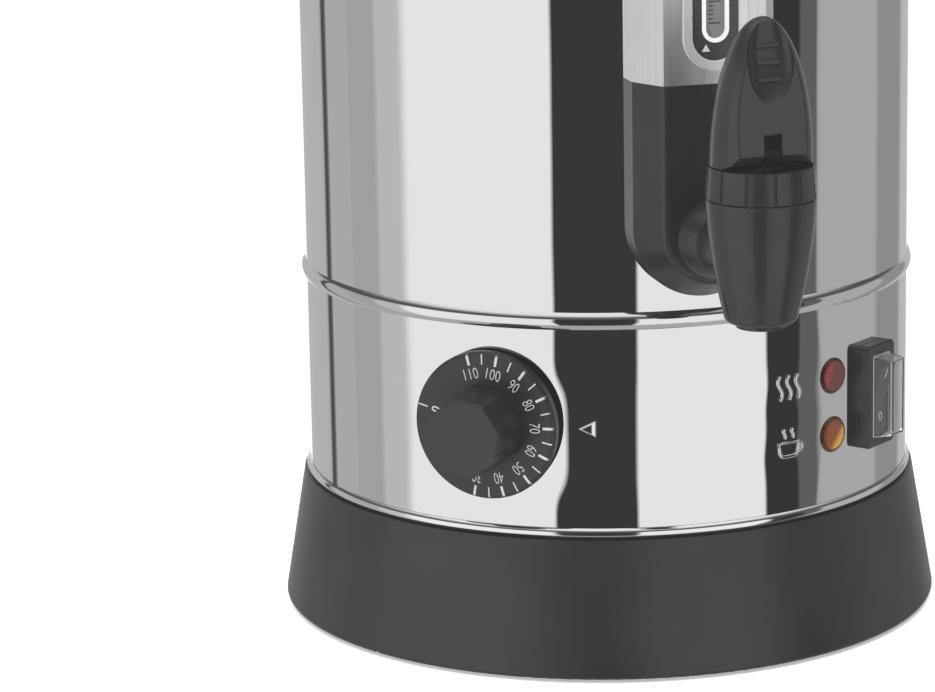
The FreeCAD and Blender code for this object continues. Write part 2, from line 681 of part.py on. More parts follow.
# Sizes that follow from the driving ones.
d.base_radius = d.shell_radius + d.base_spread
d.neck_radius = d.shell_radius + d.neck_overhang
d.boss_circle = d.base_radius - d.boss_inset
d.foot_circle = d.base_radius - d.foot_inset
d.vent_circle = d.shell_radius - d.vent_inset
d.bulb_circle = d.shell_radius - d.bulb_inset
d.tap_height = d.tank_floor + d.tap_rise
d.gauge_bottom = d.tap_height - d.gauge_foot
d.gauge_top = d.tank_top - d.gauge_drop
d.gauge_seam = d.tap_height + d.seam_rise
d.cap_seam = d.gauge_top - d.cap_height
d.window_bottom = d.gauge_seam + d.window_foot
d.window_top = d.cap_seam - d.window_head
d.tube_bottom = d.tap_height + d.tube_rise
d.tube_top = d.gauge_top - d.tube_head
d.cap_screw_height = d.gauge_top - d.cap_screw_drop
d.barrel_top = d.tap_height + d.barrel_rise
d.barrel_foot = d.tap_height - d.foot_drop
d.spout_end = d.tap_height - d.spout_drop
d.valve_seat = d.tap_height - d.seat_drop
d.bonnet_top = d.tap_height + d.bonnet_rise
d.pin_height = d.bonnet_top - d.pin_drop
d.handle_height = d.tank_top - d.handle_drop


def azimuth_of(arc):
    """The azimuth that a distance along the shell from the front gives."""
    return arc / d.shell_radius * math.degrees(1)


d.knob_azimuth = azimuth_of(-d.knob_arc)
d.lamp_azimuth = azimuth_of(d.lamp_arc)
d.switch_azimuth = azimuth_of(d.switch_arc)

ground = upright()
shell_inner = d.shell_radius - d.shell_wall
wall_face = d.shell_radius + d.contact
plate_top = d.plate_level + d.plate_wall


def wall_cylinder(radius):
    """A tall cylinder on the axis, which gives a piece the curve of the tank wall."""
    return cylinder(upright(z=-d.tank_top / 2), radius, d.tank_top * 2)


flange_inner = d.neck_radius - d.ledge_width
shell_screw_circle = flange_inner + d.screw_head + 0.5
shell_screw_turn = 15
boss_turn = 45
foot_turn = 70
base_inner = d.neck_radius - d.base_wall
gland_face = d.base_radius - d.base_round
fold_level = d.tank_floor - d.fold_depth
bead_top = fold_level + d.bead_lap
inner_floor = d.tank_floor + d.shell_wall


def quarter_turns(first_turn, circle, height=0):
    """Four frames on a circle round the axis, a quarter turn apart."""
    return [ground.at(turn_z=first_turn + 90 * i).at(x=circle, z=height) for i in range(4)]


# Base

def make_base_ring():
    body = turned("base_moulding", ground, [
        (d.base_radius - d.base_wall, d.base_gap), (d.base_radius - d.base_round, d.base_gap),
        (d.base_radius, d.base_gap + d.base_round, d.base_round),
        (d.neck_radius, d.base_top), (flange_inner, d.base_top),
        (flange_inner, d.base_top - d.base_wall), (base_inner, d.base_top - d.base_wall),
    ])
    boss = pad(body, plate_top, d.base_top - plate_top - d.base_wall / 2,
               circles=[(d.boss_circle * cosine(boss_turn), d.boss_circle * sine(boss_turn), d.boss_radius)])
    around(body, boss, 4)
    rear = radial(180, d.gland_height)
    gland_pad = cylinder(rear.at(z=base_inner), d.gland_boss, gland_face - base_inner)
    tools = [cylinder(rear, d.gland_radius + d.contact, d.base_radius * 2)]
    for i in range(3):
        notch = radial(d.notch_azimuth + 120 * i, d.base_gap)
        tools.append(cylinder(notch.at(z=base_inner), d.notch_radius, d.base_radius))
    for frame in quarter_turns(boss_turn, d.boss_circle, d.plate_level):
        tools.append(cylinder(frame, d.screw_radius + d.contact, d.base_top / 2))
    for frame in quarter_turns(shell_screw_turn, shell_screw_circle, d.base_top - d.base_wall * 1.5):
        tools.append(cylinder(frame, d.screw_radius + d.contact, d.base_wall * 2))
    keep(cut("base_ring", fuse("base_with_pad", body, gland_pad), *tools))


def make_base_plate():
    body = padded_body("base_plate_blank", ground, d.plate_level, d.plate_wall,
                       circles=[(0, 0, d.base_radius - d.base_wall - d.plate_gap)])
    vent = pocket(body, d.plate_level - 1, d.plate_wall + 2, circles=[(d.vent_circle, 0, d.vent_radius)])
    around(body, vent, d.vents)
    tools = [cylinder(ground.at(d.cutout_x, d.cutout_y), d.reset_collar + d.contact, plate_top * 2)]
    for frame in quarter_turns(boss_turn, d.boss_circle):
        tools.append(cylinder(frame, d.screw_radius + d.contact, plate_top * 2))
    for frame in quarter_turns(foot_turn, d.foot_circle):
        tools.append(cylinder(frame, d.foot_stem + d.contact, plate_top * 2))
    keep(cut("base_plate", body, *tools))


def make_feet():
    feet = []
    stem_top = plate_top + d.foot_stem
    for frame in quarter_turns(foot_turn, d.foot_circle):
        feet.append(turned("foot", frame, [
            (0, 0), (d.foot_radius - d.foot_edge, 0), (d.foot_radius, d.foot_edge, d.foot_edge),
            (d.foot_radius, d.plate_level),
            (d.foot_stem, d.plate_level), (d.foot_stem, plate_top + d.contact),
            (d.foot_stem * 1.4, plate_top + d.contact), (d.foot_stem, stem_top), (0, stem_top),
        ]))
    keep(compound("feet", feet))


def make_case_screws():
    screws = []
    length = d.base_top / 2
    crown = d.screw_head * 0.3
    rim = d.screw_head * 0.2
    for frame in quarter_turns(boss_turn, d.boss_circle, d.plate_level):
        screws.append(turned("bottom_screw", frame, [
            (0, -rim - crown), (d.screw_head, -rim, dome_radius(d.screw_head, crown)), (d.screw_head, 0),
            (d.screw_radius, 0), (d.screw_radius, length), (0, length),
        ]))
    for frame in quarter_turns(shell_screw_turn, shell_screw_circle, d.base_top + d.shell_wall):
        screws.append(turned("shell_screw", frame, [
            (0, -d.base_wall * 2), (d.screw_radius, -d.base_wall * 2), (d.screw_radius, 0), (d.screw_head, 0),
            (d.screw_head, rim), (0, rim + crown, dome_radius(d.screw_head, crown)),
        ]))
    keep(compound("case_screws", screws))


def make_trim_ring():
    keep(turned("trim_ring", ground, [
        (wall_face, d.base_top), (wall_face + d.trim_lip, d.base_top),
        (wall_face + d.trim_lip, d.base_top + d.trim_height, d.trim_roll),
        (wall_face, d.base_top + d.trim_height),
    ]))


def make_cord_gland():
    rear = radial(180, d.gland_height)
    flange = d.gland_flange_thickness
    back = base_inner - d.gland_nut_thickness - d.gland_tail
    keep(turned("cord_gland", rear, [
        (d.gland_bore, back), (d.gland_radius, back), (d.gland_radius, gland_face),
        (d.gland_flange, gland_face), (d.gland_flange, gland_face + flange / 2),
        (d.gland_flange - flange / 2, gland_face + flange, flange / 2),
        (d.gland_bore + flange / 2, gland_face + flange), (d.gland_bore, gland_face + flange / 2, flange / 2),
    ]))
    keep(padded_body("gland_nut", rear, base_inner - d.gland_nut_thickness, d.gland_nut_thickness,
                     loops=[polygon(d.gland_flange, 6)], circles=[(0, 0, d.gland_radius + d.contact)]))


# Shell and tank

def make_lower_shell():
    body = turned("lower_shell_blank", ground, [
        (flange_inner, d.base_top), (d.shell_radius, d.base_top),
        (d.shell_radius, fold_level), (shell_inner, fold_level),
        (shell_inner, d.base_top + d.shell_wall), (flange_inner, d.base_top + d.shell_wall),
    ])
    out = d.shell_radius / 2
    knob = radial(d.knob_azimuth, d.control_height)
    switch = radial(d.switch_azimuth, d.control_height)
    tools = [cylinder(knob.at(z=out), d.shaft_radius + 2, d.shell_radius)]
    for side in (-1, 1):
        hole = knob.at(y=d.fixing_spread * side, z=out)
        tools.append(cylinder(hole, d.fixing_radius + d.contact, d.shell_radius))
    for height in (d.heating_lamp_height, d.warm_lamp_height):
        hole = radial(d.lamp_azimuth, height).at(z=out)
        tools.append(cylinder(hole, d.lamp_barrel + d.contact, d.shell_radius))
    tools.append(block(switch.at(z=out), d.housing_width + d.contact * 2, d.housing_tall + d.contact * 2, d.shell_radius))
    for frame in quarter_turns(shell_screw_turn, shell_screw_circle, d.base_top - 1):
        tools.append(cylinder(frame, d.screw_radius + d.contact, d.shell_wall + 2))
    keep(cut("lower_shell", body, *tools))


def wall_screw_frames():
    """The screws that pass through the tank wall: two for each side handle and one for the gauge's cap."""
    frames = [radial(0, d.cap_screw_height)]
    for side in (-90, 90):
        for arm in (-0.5, 0.5):
            frames.append(radial(d.handle_span * arm + side, d.handle_height))
    return frames


def make_tank():
    body = turned("tank_blank", ground, [
        (wall_face, bead_top - d.bead_height), (d.shell_radius + d.bead_edge, bead_top - d.bead_height),
        (d.shell_radius, bead_top, d.bead_roll),
        (d.shell_radius, d.tank_top - d.rim_height), (shell_inner, d.tank_top, d.rim_roll),
        (shell_inner, inner_floor), (0, inner_floor), (0, d.tank_floor),
        (d.shell_radius - d.fold_width, d.tank_floor), (d.shell_radius - d.fold_width, fold_level),
        (wall_face, fold_level),
    ])
    out = d.shell_radius / 2
    tools = [cylinder(radial(0, d.tap_height).at(z=out), d.shank_radius + d.contact, d.shell_radius)]
    for frame in wall_screw_frames():
        tools.append(cylinder(frame.at(z=out), d.wall_screw + d.contact, d.shell_radius))
    keep(cut("tank", body, *tools))


def make_wall_screws():
    screws = []
    seals = []
    head_face = shell_inner - d.contact - d.screw_seal
    head = d.wall_screw * 2
    crown = d.wall_screw * 0.5
    rim = d.wall_screw * 0.5
    for frame in wall_screw_frames():
        screws.append(turned("wall_screw", frame, [
            (0, head_face - rim - crown), (head, head_face - rim, dome_radius(head, crown)), (head, head_face),
            (d.wall_screw, head_face), (d.wall_screw, d.shell_radius + d.screw_grip),
            (0, d.shell_radius + d.screw_grip),
        ]))
        ring = padded_body("seal_blank", frame, head_face, d.screw_seal * 2, circles=[
            (0, 0, head * 1.15), (0, 0, d.wall_screw + d.contact)])
        seals.append(common("screw_seal_ring", ring, wall_cylinder(shell_inner - d.contact)))
    keep(compound("wall_screws", screws))
    keep(compound("screw_seals", seals))


# Heater

def make_heater():
    level = d.tank_floor - d.heater_thickness
    plate = turned("heater_plate_blank", ground, [
        (0, level), (d.heater_radius - d.heater_edge, level), (d.heater_radius, level + d.heater_edge),
        (d.heater_radius, d.tank_floor), (0, d.tank_floor),
    ])
    groove = primitive("Part::Torus", ground.at(z=level), Radius1=d.element_circle,
                       Radius2=d.element_radius + d.contact, Angle3=360)
    keep(cut("heater_plate", plate, groove))
    half_gap = d.element_gap_angle / 2
    pieces = [primitive("Part::Torus", ground.at(z=level, turn_z=90 + half_gap), Radius1=d.element_circle,
                        Radius2=d.element_radius, Angle3=360 - d.element_gap_angle)]
    bushes = []
    for side in (-1, 1):
        end = ground.at(turn_z=90 + half_gap * side).at(x=d.element_circle, z=level)
        pieces.append(sphere(end, d.element_radius))
        pieces.append(cylinder(end.at(z=-d.element_leg), d.element_radius, d.element_leg))
        pieces.append(cylinder(end.at(z=-d.element_leg - d.cold_pin), d.element_radius * 0.4, d.cold_pin + 1))
        bush = end.at(z=-d.element_leg + 1)
        bushes.append(cut("bush", cylinder(bush, d.bush_radius, d.bush_length),
                          cylinder(bush.at(z=-1), d.element_radius + d.contact, d.bush_length + 2)))
    keep(fuse("heating_element", *pieces))
    keep(compound("heater_bushes", bushes))


# Thermostat and knob

knob_frame = radial(d.knob_azimuth, d.control_height)
thermostat_front = shell_inner - d.thermostat_gap
thermostat_back = thermostat_front - d.thermostat_depth
dial_front = d.shell_radius + d.dial_face
dial_back = dial_front - d.dial_thickness
recess_back = dial_back + d.dial_recess
grip_front = dial_front + d.grip_length


def spade(frame):
    """A flat spade terminal that stands back from a component."""
    return block(frame.at(z=-d.spade_length), d.spade_width, d.spade_thickness, d.spade_length)


def make_thermostat():
    body = padded_body("thermostat_body", knob_frame, thermostat_back, d.thermostat_depth,
                       loops=[rounded_rectangle(d.thermostat_width, d.thermostat_tall, size(2))])
    reach = d.thermostat_gap - d.contact * 3
    pad(body, thermostat_front, reach, circles=[
        (0, d.fixing_spread, d.fixing_radius * 1.9), (0, -d.fixing_spread, d.fixing_radius * 1.9),
        (0, 0, d.shaft_radius + 1.9)])
    pocket(body, thermostat_back + d.shaft_inset, d.thermostat_depth + d.thermostat_gap,
           circles=[(0, 0, d.shaft_radius + d.running)])
    pocket(body, thermostat_front - d.fixing_depth, d.thermostat_gap + d.fixing_depth, circles=[
        (0, d.fixing_spread, d.fixing_radius + d.contact), (0, -d.fixing_spread, d.fixing_radius + d.contact)])
    keep(body)
    screws = []
    head = d.fixing_radius * 1.7
    crown = d.fixing_radius * 0.5
    rim = wall_face + d.fixing_radius * 0.15
    tip = thermostat_front - d.fixing_depth + 1
    for side in (-1, 1):
        screws.append(turned("thermostat_screw", knob_frame.at(y=d.fixing_spread * side), [
            (0, tip), (d.fixing_radius, tip), (d.fixing_radius, wall_face),
            (head, wall_face), (head, rim), (0, rim + crown, dome_radius(head, crown)),
        ]))
    keep(compound("thermostat_screws", screws))


def make_knob():
    shaft_end = grip_front - d.shaft_cover
    shaft_start = thermostat_back + d.shaft_inset + 0.5
    shaft = padded_body("thermostat_shaft", knob_frame, shaft_start, shaft_end - shaft_start,
                        circles=[(0, 0, d.shaft_radius)])
    pocket(shaft, recess_back, shaft_end, loops=[
        rectangle(d.shaft_radius * 2, d.shaft_radius, 0, d.shaft_radius * 1.2)])
    keep(shaft)
    keep(turned("knob_dial", knob_frame, [
        (d.spigot_radius, recess_back), (d.dial_radius - d.dial_lip, recess_back),
        (d.dial_radius - d.dial_lip, dial_back),
        (d.dial_radius, dial_back), (d.dial_radius, dial_front - d.dial_round),
        (d.dial_radius - d.dial_round, dial_front, d.dial_round), (d.spigot_radius, dial_front),
    ]))
    grip = new_body("knob_grip", knob_frame)
    pad(grip, dial_front, d.grip_length, loops=[polygon(d.grip_radius, 8, d.grip_twist)], taper=-d.grip_draft)
    rounded(grip, d.grip_round, lambda edge: edge.BoundBox.ZMin > grip_front.value - 0.5)
    pad(grip, recess_back, dial_front - recess_back, circles=[(0, 0, d.spigot_radius)])
    pocket(grip, recess_back - 1, shaft_end - recess_back + 1, circles=[(0, 0, d.shaft_radius + d.contact)])
    keep(grip)


def make_sensor():
    lift = d.tank_floor - d.control_height - d.bulb_radius - d.contact
    middle = knob_frame.at(y=lift, z=d.bulb_circle)
    half = d.bulb_length / 2
    keep(named("sensor_bulb", cylinder(middle.at(x=-half).at(turn_z=90, turn_x=90), d.bulb_radius, d.bulb_length)))
    level = thermostat_back + d.capillary_level
    side = half + d.capillary_reach
    low = lift - d.capillary_drop
    run = (
        (d.thermostat_width / 4, d.thermostat_tall / 2, level), (d.thermostat_width / 4, low, level),
        (side, low, level), (side, lift, d.bulb_circle), (half, lift, d.bulb_circle),
    )
    points = [knob_frame.placement.multVec(Vector(*[size(value).value for value in point])) for point in run]
    keep(tube_along("capillary_tube", points, d.capillary_radius.value, d.capillary_bend.value))
    clips = []
    wall = d.clip_wall
    long = d.clip_length * 1.5
    inner = (d.bulb_radius + d.contact * 2) * 2
    for side in (-0.3, 0.3):
        place = middle.at(x=d.bulb_length * side)
        strap = block(place.at(y=-wall / 2 + d.contact / 2, z=-inner / 2 - wall), d.clip_length,
                      d.bulb_radius * 2 + d.contact + wall, inner + wall * 2)
        room = block(place.at(y=inner / 2, z=-inner / 2), long, inner, inner)
        bore = cylinder(place.at(x=-long / 2).at(turn_z=90, turn_x=90), inner / 2, long)
        clips.append(cut("clip", strap, room, bore))
    keep(compound("sensor_clips", clips))


# Pilot lamps

def make_lamps():
    bodies = []
    nuts = []
    back = wall_face + d.contact * 2
    for label, height in (("heating_lamp_lens", d.heating_lamp_height), ("warm_lamp_lens", d.warm_lamp_height)):
        frame = radial(d.lamp_azimuth, height)
        keep(turned(label, frame, [
            (0, back), (d.lamp_radius, back), (d.lamp_radius, back + d.lens_rim),
            (d.lamp_radius - d.lens_bevel, back + d.lens_rim + d.lens_bevel),
            (0, back + d.lens_rim + d.lens_bevel + d.lens_dome,
             dome_radius(d.lamp_radius - d.lens_bevel, d.lens_dome)),
        ]))
        bodies.append(turned("lamp_body", frame, [
            (0, shell_inner - d.lamp_depth), (d.lamp_barrel - 1, shell_inner - d.lamp_depth),
            (d.lamp_barrel, shell_inner - d.lamp_depth + 1), (d.lamp_barrel, back), (0, back),
        ]))
        nuts.append(padded_body("lamp_nut", frame, shell_inner - d.lamp_nut_thickness - 0.5, d.lamp_nut_thickness,
                                loops=[polygon(d.lamp_barrel + d.lamp_nut_rim, 6)],
                                circles=[(0, 0, d.lamp_barrel + d.contact)]))
    keep(compound("lamp_bodies", bodies))
    keep(compound("lamp_nuts", nuts))


# Rocker switch

switch_place = radial(d.switch_azimuth, d.control_height)
switch_face = d.shell_radius + d.switch_rise
switch_back = shell_inner - d.housing_depth
pivot_level = switch_face - d.key_pivot


def make_switch_frame():
    body = new_body("switch_frame_blank", switch_place)
    start = d.shell_radius - d.flange_rise
    outline = rounded_rectangle(d.switch_width, d.switch_tall, d.frame_round)
    pad(body, start, d.flange_rise * 2, loops=[outline])
    pad(body, start, d.flange_rise + d.switch_rise, loops=[
        rounded_rectangle(d.switch_width - d.frame_groove * 2, d.switch_tall - d.frame_groove * 2, d.frame_round)])
    bezel = d.shell_radius + d.flange_rise + d.frame_groove
    pad(body, bezel, switch_face - bezel, loops=[outline])
    rounded(body, d.frame_edge, lambda edge: edge.BoundBox.ZMin > switch_face.value - 0.01)
    pocket(body, start - 1, d.shell_radius, loops=[rectangle(d.opening_width, d.opening_tall)])
    pocket(body, start - 1, switch_face - d.front_wall - start + 1, loops=[
        rectangle(d.housing_width + d.contact * 2, d.housing_tall + d.contact * 2)])
    keep(cut("switch_frame", body, wall_cylinder(wall_face)))


def make_switch_body():
    body = padded_body("switch_body", switch_place, switch_back, switch_face - d.front_wall - d.contact - switch_back,
                       loops=[rectangle(d.housing_width, d.housing_tall)])
    pocket(body, pivot_level - d.key_room, d.shell_radius, loops=[rectangle(d.opening_width, d.opening_tall)])
    pocket(body, -d.housing_width, d.housing_width * 2, circles=[(0, pivot_level, d.pivot_radius + d.running)],
           plane="YZ_Plane")
    keep(body)


def make_rocker_key():
    reach = d.opening_tall / 2 - d.key_gap
    half_width = d.opening_width / 2 - d.key_gap
    slope = sine(d.key_tilt) / cosine(d.key_tilt)
    middle = d.key_pivot - 0.3
    stretch = slope * slope + 1
    end = (root(reach * reach * stretch - middle * middle) - middle * slope) / stretch
    end_height = middle + end * slope
    foot = d.key_foot
    foot_reach = root(reach * reach - foot * foot)
    body = new_body("rocker_key", switch_place.at(z=pivot_level, turn_x=d.key_tilt))
    pad(body, -half_width, half_width * 2, plane="YZ_Plane", loops=[[
        (-foot_reach, -foot, reach), (foot_reach, -foot), (end, end_height, reach), (0, middle), (-end, end_height),
    ]])
    pin = half_width + d.key_gap + d.pivot_length
    pad(body, -pin, pin * 2, plane="YZ_Plane", circles=[(0, 0, d.pivot_radius)])
    keep(body)


def make_switch_boot():
    width = d.opening_width + d.boot_margin * 2
    tall = d.opening_tall + d.boot_margin * 2
    outside = padded_body("boot_outside", switch_place, switch_face + d.contact, d.boot_rise,
                          loops=[rounded_rectangle(width, tall, size(1))], taper=-d.boot_draft)
    inside = padded_body("boot_inside", switch_place, switch_face + d.contact, d.boot_rise - d.boot_wall,
                         loops=[rectangle(width - d.boot_wall * 2, tall - d.boot_wall * 2)], taper=-d.boot_draft)
    keep(cut("switch_boot", outside, inside))


def make_spades():
    spades = [spade(knob_frame.at(d.spade_pitch * i, -d.spade_drop, thermostat_back)) for i in (-1, 0, 1)]
    spades += [spade(switch_place.at(0, d.spade_pitch * i, switch_back)) for i in (-1, 1)]
    for height in (d.heating_lamp_height, d.warm_lamp_height):
        spades.append(spade(radial(d.lamp_azimuth, height).at(z=shell_inner - d.lamp_depth)))
    keep(compound("spade_terminals", spades))


# Sight gauge

gauge_front = radial(0, 0)
gauge_face = d.shell_radius + d.gauge_depth
gauge_shoulder = d.shell_radius + d.gauge_side
window_inset = d.frame_half_width - d.panel_half_width
panel_bottom = d.window_bottom + window_inset
panel_top = d.window_top - window_inset
slot_bottom = panel_bottom + d.slot_inset
slot_top = panel_top - d.slot_inset
tube_axis = d.shell_radius + d.tube_distance
seal_radius = d.tube_radius + d.seal_wall


def gauge_form(label, inset):
    """The gauge housing's boat-shaped form, made smaller all round by the inset."""
    inset = size(inset)
    slant = d.gauge_half_width - d.face_half_width
    body = new_body(label, gauge_front)
    sides = slot(d.gauge_half_width - inset, d.gauge_bottom + inset, d.gauge_top - inset)
    front = slot(d.face_half_width - inset, d.gauge_bottom + slant + inset, d.gauge_top - slant - inset)
    start = d.shell_radius - d.gauge_half_width
    shoulder = gauge_shoulder - inset / 2
    pad(body, start, shoulder - start, loops=[sides])
    loft = body.newObject("PartDesign::AdditiveLoft", "Loft")
    loft.Profile = new_sketch(body, "XY_Plane", shoulder, [sides], [])
    loft.Sections = [new_sketch(body, "XY_Plane", gauge_face - inset, [front], [])]
    loft.Ruled = True
    return body


def slab(bottom, top):
    """A block as wide as the urn that spans two heights in front of the axis."""
    wide = d.shell_radius * 2
    return block(upright(y=-d.shell_radius, z=bottom), wide, wide, top - bottom)


def make_gauge_case():
    outside = gauge_form("gauge_outside", 0)
    softened = gauge_form("gauge_softened", 0)
    rounded(softened, d.fold_round, lambda edge: edge.BoundBox.ZMin > gauge_face.value - 0.01)
    wall = wall_cylinder(wall_face)
    shank_hole = cylinder(radial(0, d.tap_height).at(z=d.shell_radius), d.shank_radius + d.contact, d.shell_radius)
    lower = common("gauge_lower", softened, slab(0, d.gauge_seam))
    keep(cut("gauge_housing", lower, gauge_form("gauge_hollow", d.gauge_wall), wall, shank_hole))
    window = padded_body("window_hole", gauge_front, gauge_shoulder, d.gauge_depth, loops=[
        slot(d.panel_half_width + window_inset / 2 + d.contact, d.window_bottom + window_inset / 2 - d.contact,
             d.window_top - window_inset / 2 + d.contact)])
    middle = common("gauge_middle", outside, slab(d.gauge_seam, d.cap_seam))
    keep(cut("gauge_cover", middle, gauge_form("cover_hollow", d.cover_wall), wall, window))
    upper = common("gauge_upper", softened, slab(d.cap_seam, d.gauge_top))
    tube_room = cylinder(upright(y=-tube_axis, z=d.cap_seam - 1), seal_radius, d.tube_top - d.cap_seam + 3)
    screw = cylinder(radial(0, d.cap_screw_height), d.wall_screw + d.contact, d.shell_radius + d.screw_grip + 1)
    vent = cylinder(upright(x=seal_radius / 2, y=-tube_axis, z=d.tube_top), d.air_hole, d.tank_top - d.tube_top)
    keep(cut("gauge_cap", upper, wall, tube_room, screw, vent))


def make_window():
    outer = slot(d.frame_half_width, d.window_bottom, d.window_top)
    neck = slot(d.panel_half_width + window_inset / 2, d.window_bottom + window_inset / 2,
                d.window_top - window_inset / 2)
    inner = slot(d.panel_half_width, panel_bottom, panel_top)
    frame = new_body("gauge_frame", gauge_front)
    pad(frame, gauge_face + d.contact, d.frame_rise, loops=[outer, inner])
    rounded(frame, d.frame_rise / 2, lambda edge: edge.BoundBox.ZMin > (gauge_face + d.frame_rise).value)
    pad(frame, gauge_face - d.cover_wall, d.cover_wall + d.contact, loops=[neck, inner])
    keep(frame)
    back = gauge_face - d.cover_wall
    slot_edge = slot(d.slot_half_width, slot_bottom, slot_top)
    slot_hole = slot(d.slot_half_width - d.slot_border, slot_bottom + d.slot_border, slot_top - d.slot_border)
    keep(padded_body("gauge_panel", gauge_front, back, d.panel_thickness, loops=[
        slot(d.panel_half_width - d.contact, panel_bottom + d.contact, panel_top - d.contact), slot_edge]))
    keep(padded_body("slot_border", gauge_front, back, d.panel_thickness + 0.3, loops=[slot_edge, slot_hole]))
    keep(padded_body("gauge_window", gauge_front, back, d.panel_thickness / 2, loops=[slot_hole]))


def make_sight_tube():
    inner = d.tube_radius - d.tube_wall
    stand = upright(y=-tube_axis)
    keep(turned("sight_tube", stand, [
        (inner, d.tube_bottom), (d.tube_radius, d.tube_bottom), (d.tube_radius, d.tube_top), (inner, d.tube_top),
    ]))
    seals = []
    for bottom in (d.tube_bottom, d.tube_top - d.seal_height):
        seals.append(turned("tube_seal", stand, [
            (d.tube_radius, bottom), (seal_radius, bottom),
            (seal_radius, bottom + d.seal_height), (d.tube_radius, bottom + d.seal_height),
        ]))
    keep(compound("tube_seals", seals))


# Tap

shank_frame = radial(0, d.tap_height)
tap_axis = d.shell_radius + d.tap_reach
tap_frame = upright(y=-tap_axis)
collar_back = d.shell_radius + d.gasket_thickness
collar_front = collar_back + d.collar_thickness
socket_start = gauge_face + d.escutcheon_length + d.contact * 2
shank_end = tap_axis - d.barrel_bore - d.shank_bore
nut_front = shell_inner - d.gasket_thickness * 2
bonnet_floor = d.bonnet_top - d.recess_depth
lever_base = d.bonnet_top + d.lever_gap
stem_head = d.pin_radius * 2.5
cup_top = d.valve_seat + d.cup_height
spring_top = bonnet_floor - d.bonnet_floor_wall


def make_tap_shank():
    start = d.shell_radius - d.shank_inside
    tube = turned("shank_tube", shank_frame, [
        (d.shank_bore, start), (d.shank_radius, start), (d.shank_radius, collar_back),
        (d.collar_radius, collar_back), (d.collar_radius, collar_front), (d.shank_radius, collar_front),
        (d.shank_radius, shank_end), (d.shank_bore, shank_end),
    ])
    branch_foot = upright(y=-tube_axis, z=d.tap_height)
    branch = cylinder(branch_foot, seal_radius + d.branch_wall, d.tube_bottom + d.seal_height * 1.6 - d.tap_height)
    tools = [
        cylinder(shank_frame.at(z=start), d.shank_bore, shank_end - start),
        cylinder(branch_foot, d.tube_radius - d.tube_wall, d.tube_bottom - d.tap_height + 1),
        cylinder(upright(y=-tube_axis, z=d.tube_bottom), seal_radius, d.gauge_top),
    ]
    keep(cut("tap_shank", fuse("shank_with_branch", tube, branch), *tools))
    keep(padded_body("tank_nut", shank_frame, nut_front - d.nut_thickness, d.nut_thickness,
                     loops=[polygon(d.nut_radius, 6)], circles=[(0, 0, d.shank_radius + d.contact)]))
    ring = [(0, 0, d.collar_radius), (0, 0, d.shank_radius + d.contact)]
    inside = common("inner_gasket", padded_body("inner_gasket_blank", shank_frame, nut_front,
                                                d.gasket_thickness * 4, circles=ring),
                    wall_cylinder(shell_inner - d.contact))
    outside = cut("outer_gasket", padded_body("outer_gasket_blank", shank_frame, collar_back - d.gasket_thickness * 3,
                                              d.gasket_thickness * 3, circles=ring), wall_cylinder(wall_face))
    keep(compound("tank_gaskets", [inside, outside]))
    keep(turned("tap_escutcheon", shank_frame, [
        (d.shank_radius + d.contact, gauge_face + d.contact), (d.escutcheon_radius, gauge_face + d.contact),
        (d.escutcheon_radius, gauge_face + d.escutcheon_rim),
        (d.socket_radius, gauge_face + d.escutcheon_length, d.escutcheon_bow),
        (d.shank_radius + d.contact, gauge_face + d.escutcheon_length),
    ]))


def make_tap_body():
    foot_level = d.barrel_foot - d.foot_round
    outside = turned("tap_barrel", tap_frame, [
        (0, d.spout_end), (d.spout_radius, d.spout_end), (d.spout_radius, foot_level),
        (d.barrel_foot_radius - d.foot_round, foot_level), (d.barrel_foot_radius, d.barrel_foot, d.foot_round),
        (d.barrel_radius, d.barrel_top - d.seam_groove, d.barrel_bow),
        (d.barrel_radius - d.seam_groove, d.barrel_top), (0, d.barrel_top),
    ])
    socket = cylinder(shank_frame.at(z=socket_start), d.socket_radius, tap_axis - socket_start)
    floor_bottom = d.valve_seat - d.seat_thickness
    tools = [
        cylinder(tap_frame.at(z=d.valve_seat), d.barrel_bore, d.barrel_top),
        cylinder(tap_frame.at(z=floor_bottom - 1), d.seat_bore, d.seat_thickness + 2),
        cylinder(tap_frame.at(z=d.spout_end - 1), d.spout_bore, floor_bottom - d.spout_end + 1),
        cylinder(shank_frame.at(z=gauge_face), d.shank_radius + d.contact, shank_end - gauge_face),
        cylinder(shank_frame.at(z=gauge_face), d.shank_bore, tap_axis - gauge_face),
    ]
    keep(cut("tap_body", fuse("tap_casting", outside, socket), *tools))


def make_bonnet():
    spigot = d.barrel_bore - d.contact
    seam = d.barrel_top + d.contact
    skirt = seam - d.bonnet_spigot
    stem_bore = d.stem_radius + d.running
    spring_room = d.spring_radius + d.spring_wire + 1
    body = turned("bonnet_blank", tap_frame, [
        (spring_room, skirt), (spigot, skirt), (spigot, seam), (d.barrel_radius - d.seam_groove, seam),
        (d.barrel_radius, seam + d.seam_groove),
        (d.bonnet_top_radius, d.bonnet_top), (d.bonnet_recess, d.bonnet_top), (d.bonnet_recess, bonnet_floor),
        (stem_bore, bonnet_floor), (stem_bore, spring_top), (spring_room, spring_top),
    ])
    grooves = []
    for number in range(int(d.bonnet_grooves.value)):
        side = tap_frame.at(z=d.barrel_top, turn_z=size(360) * number / d.bonnet_grooves - d.groove_turn)
        grooves.append(cylinder(side.at(y=-d.barrel_radius, turn_x=-d.groove_lean).at(z=-d.groove_radius),
                                d.groove_radius, d.barrel_radius))
    keep(cut("tap_bonnet", body, *grooves))


def pin_frame(reach):
    """Looks along the lever's pin, from its left end."""
    return tap_frame.at(x=-reach, z=d.pin_height).at(turn_z=90, turn_x=90)


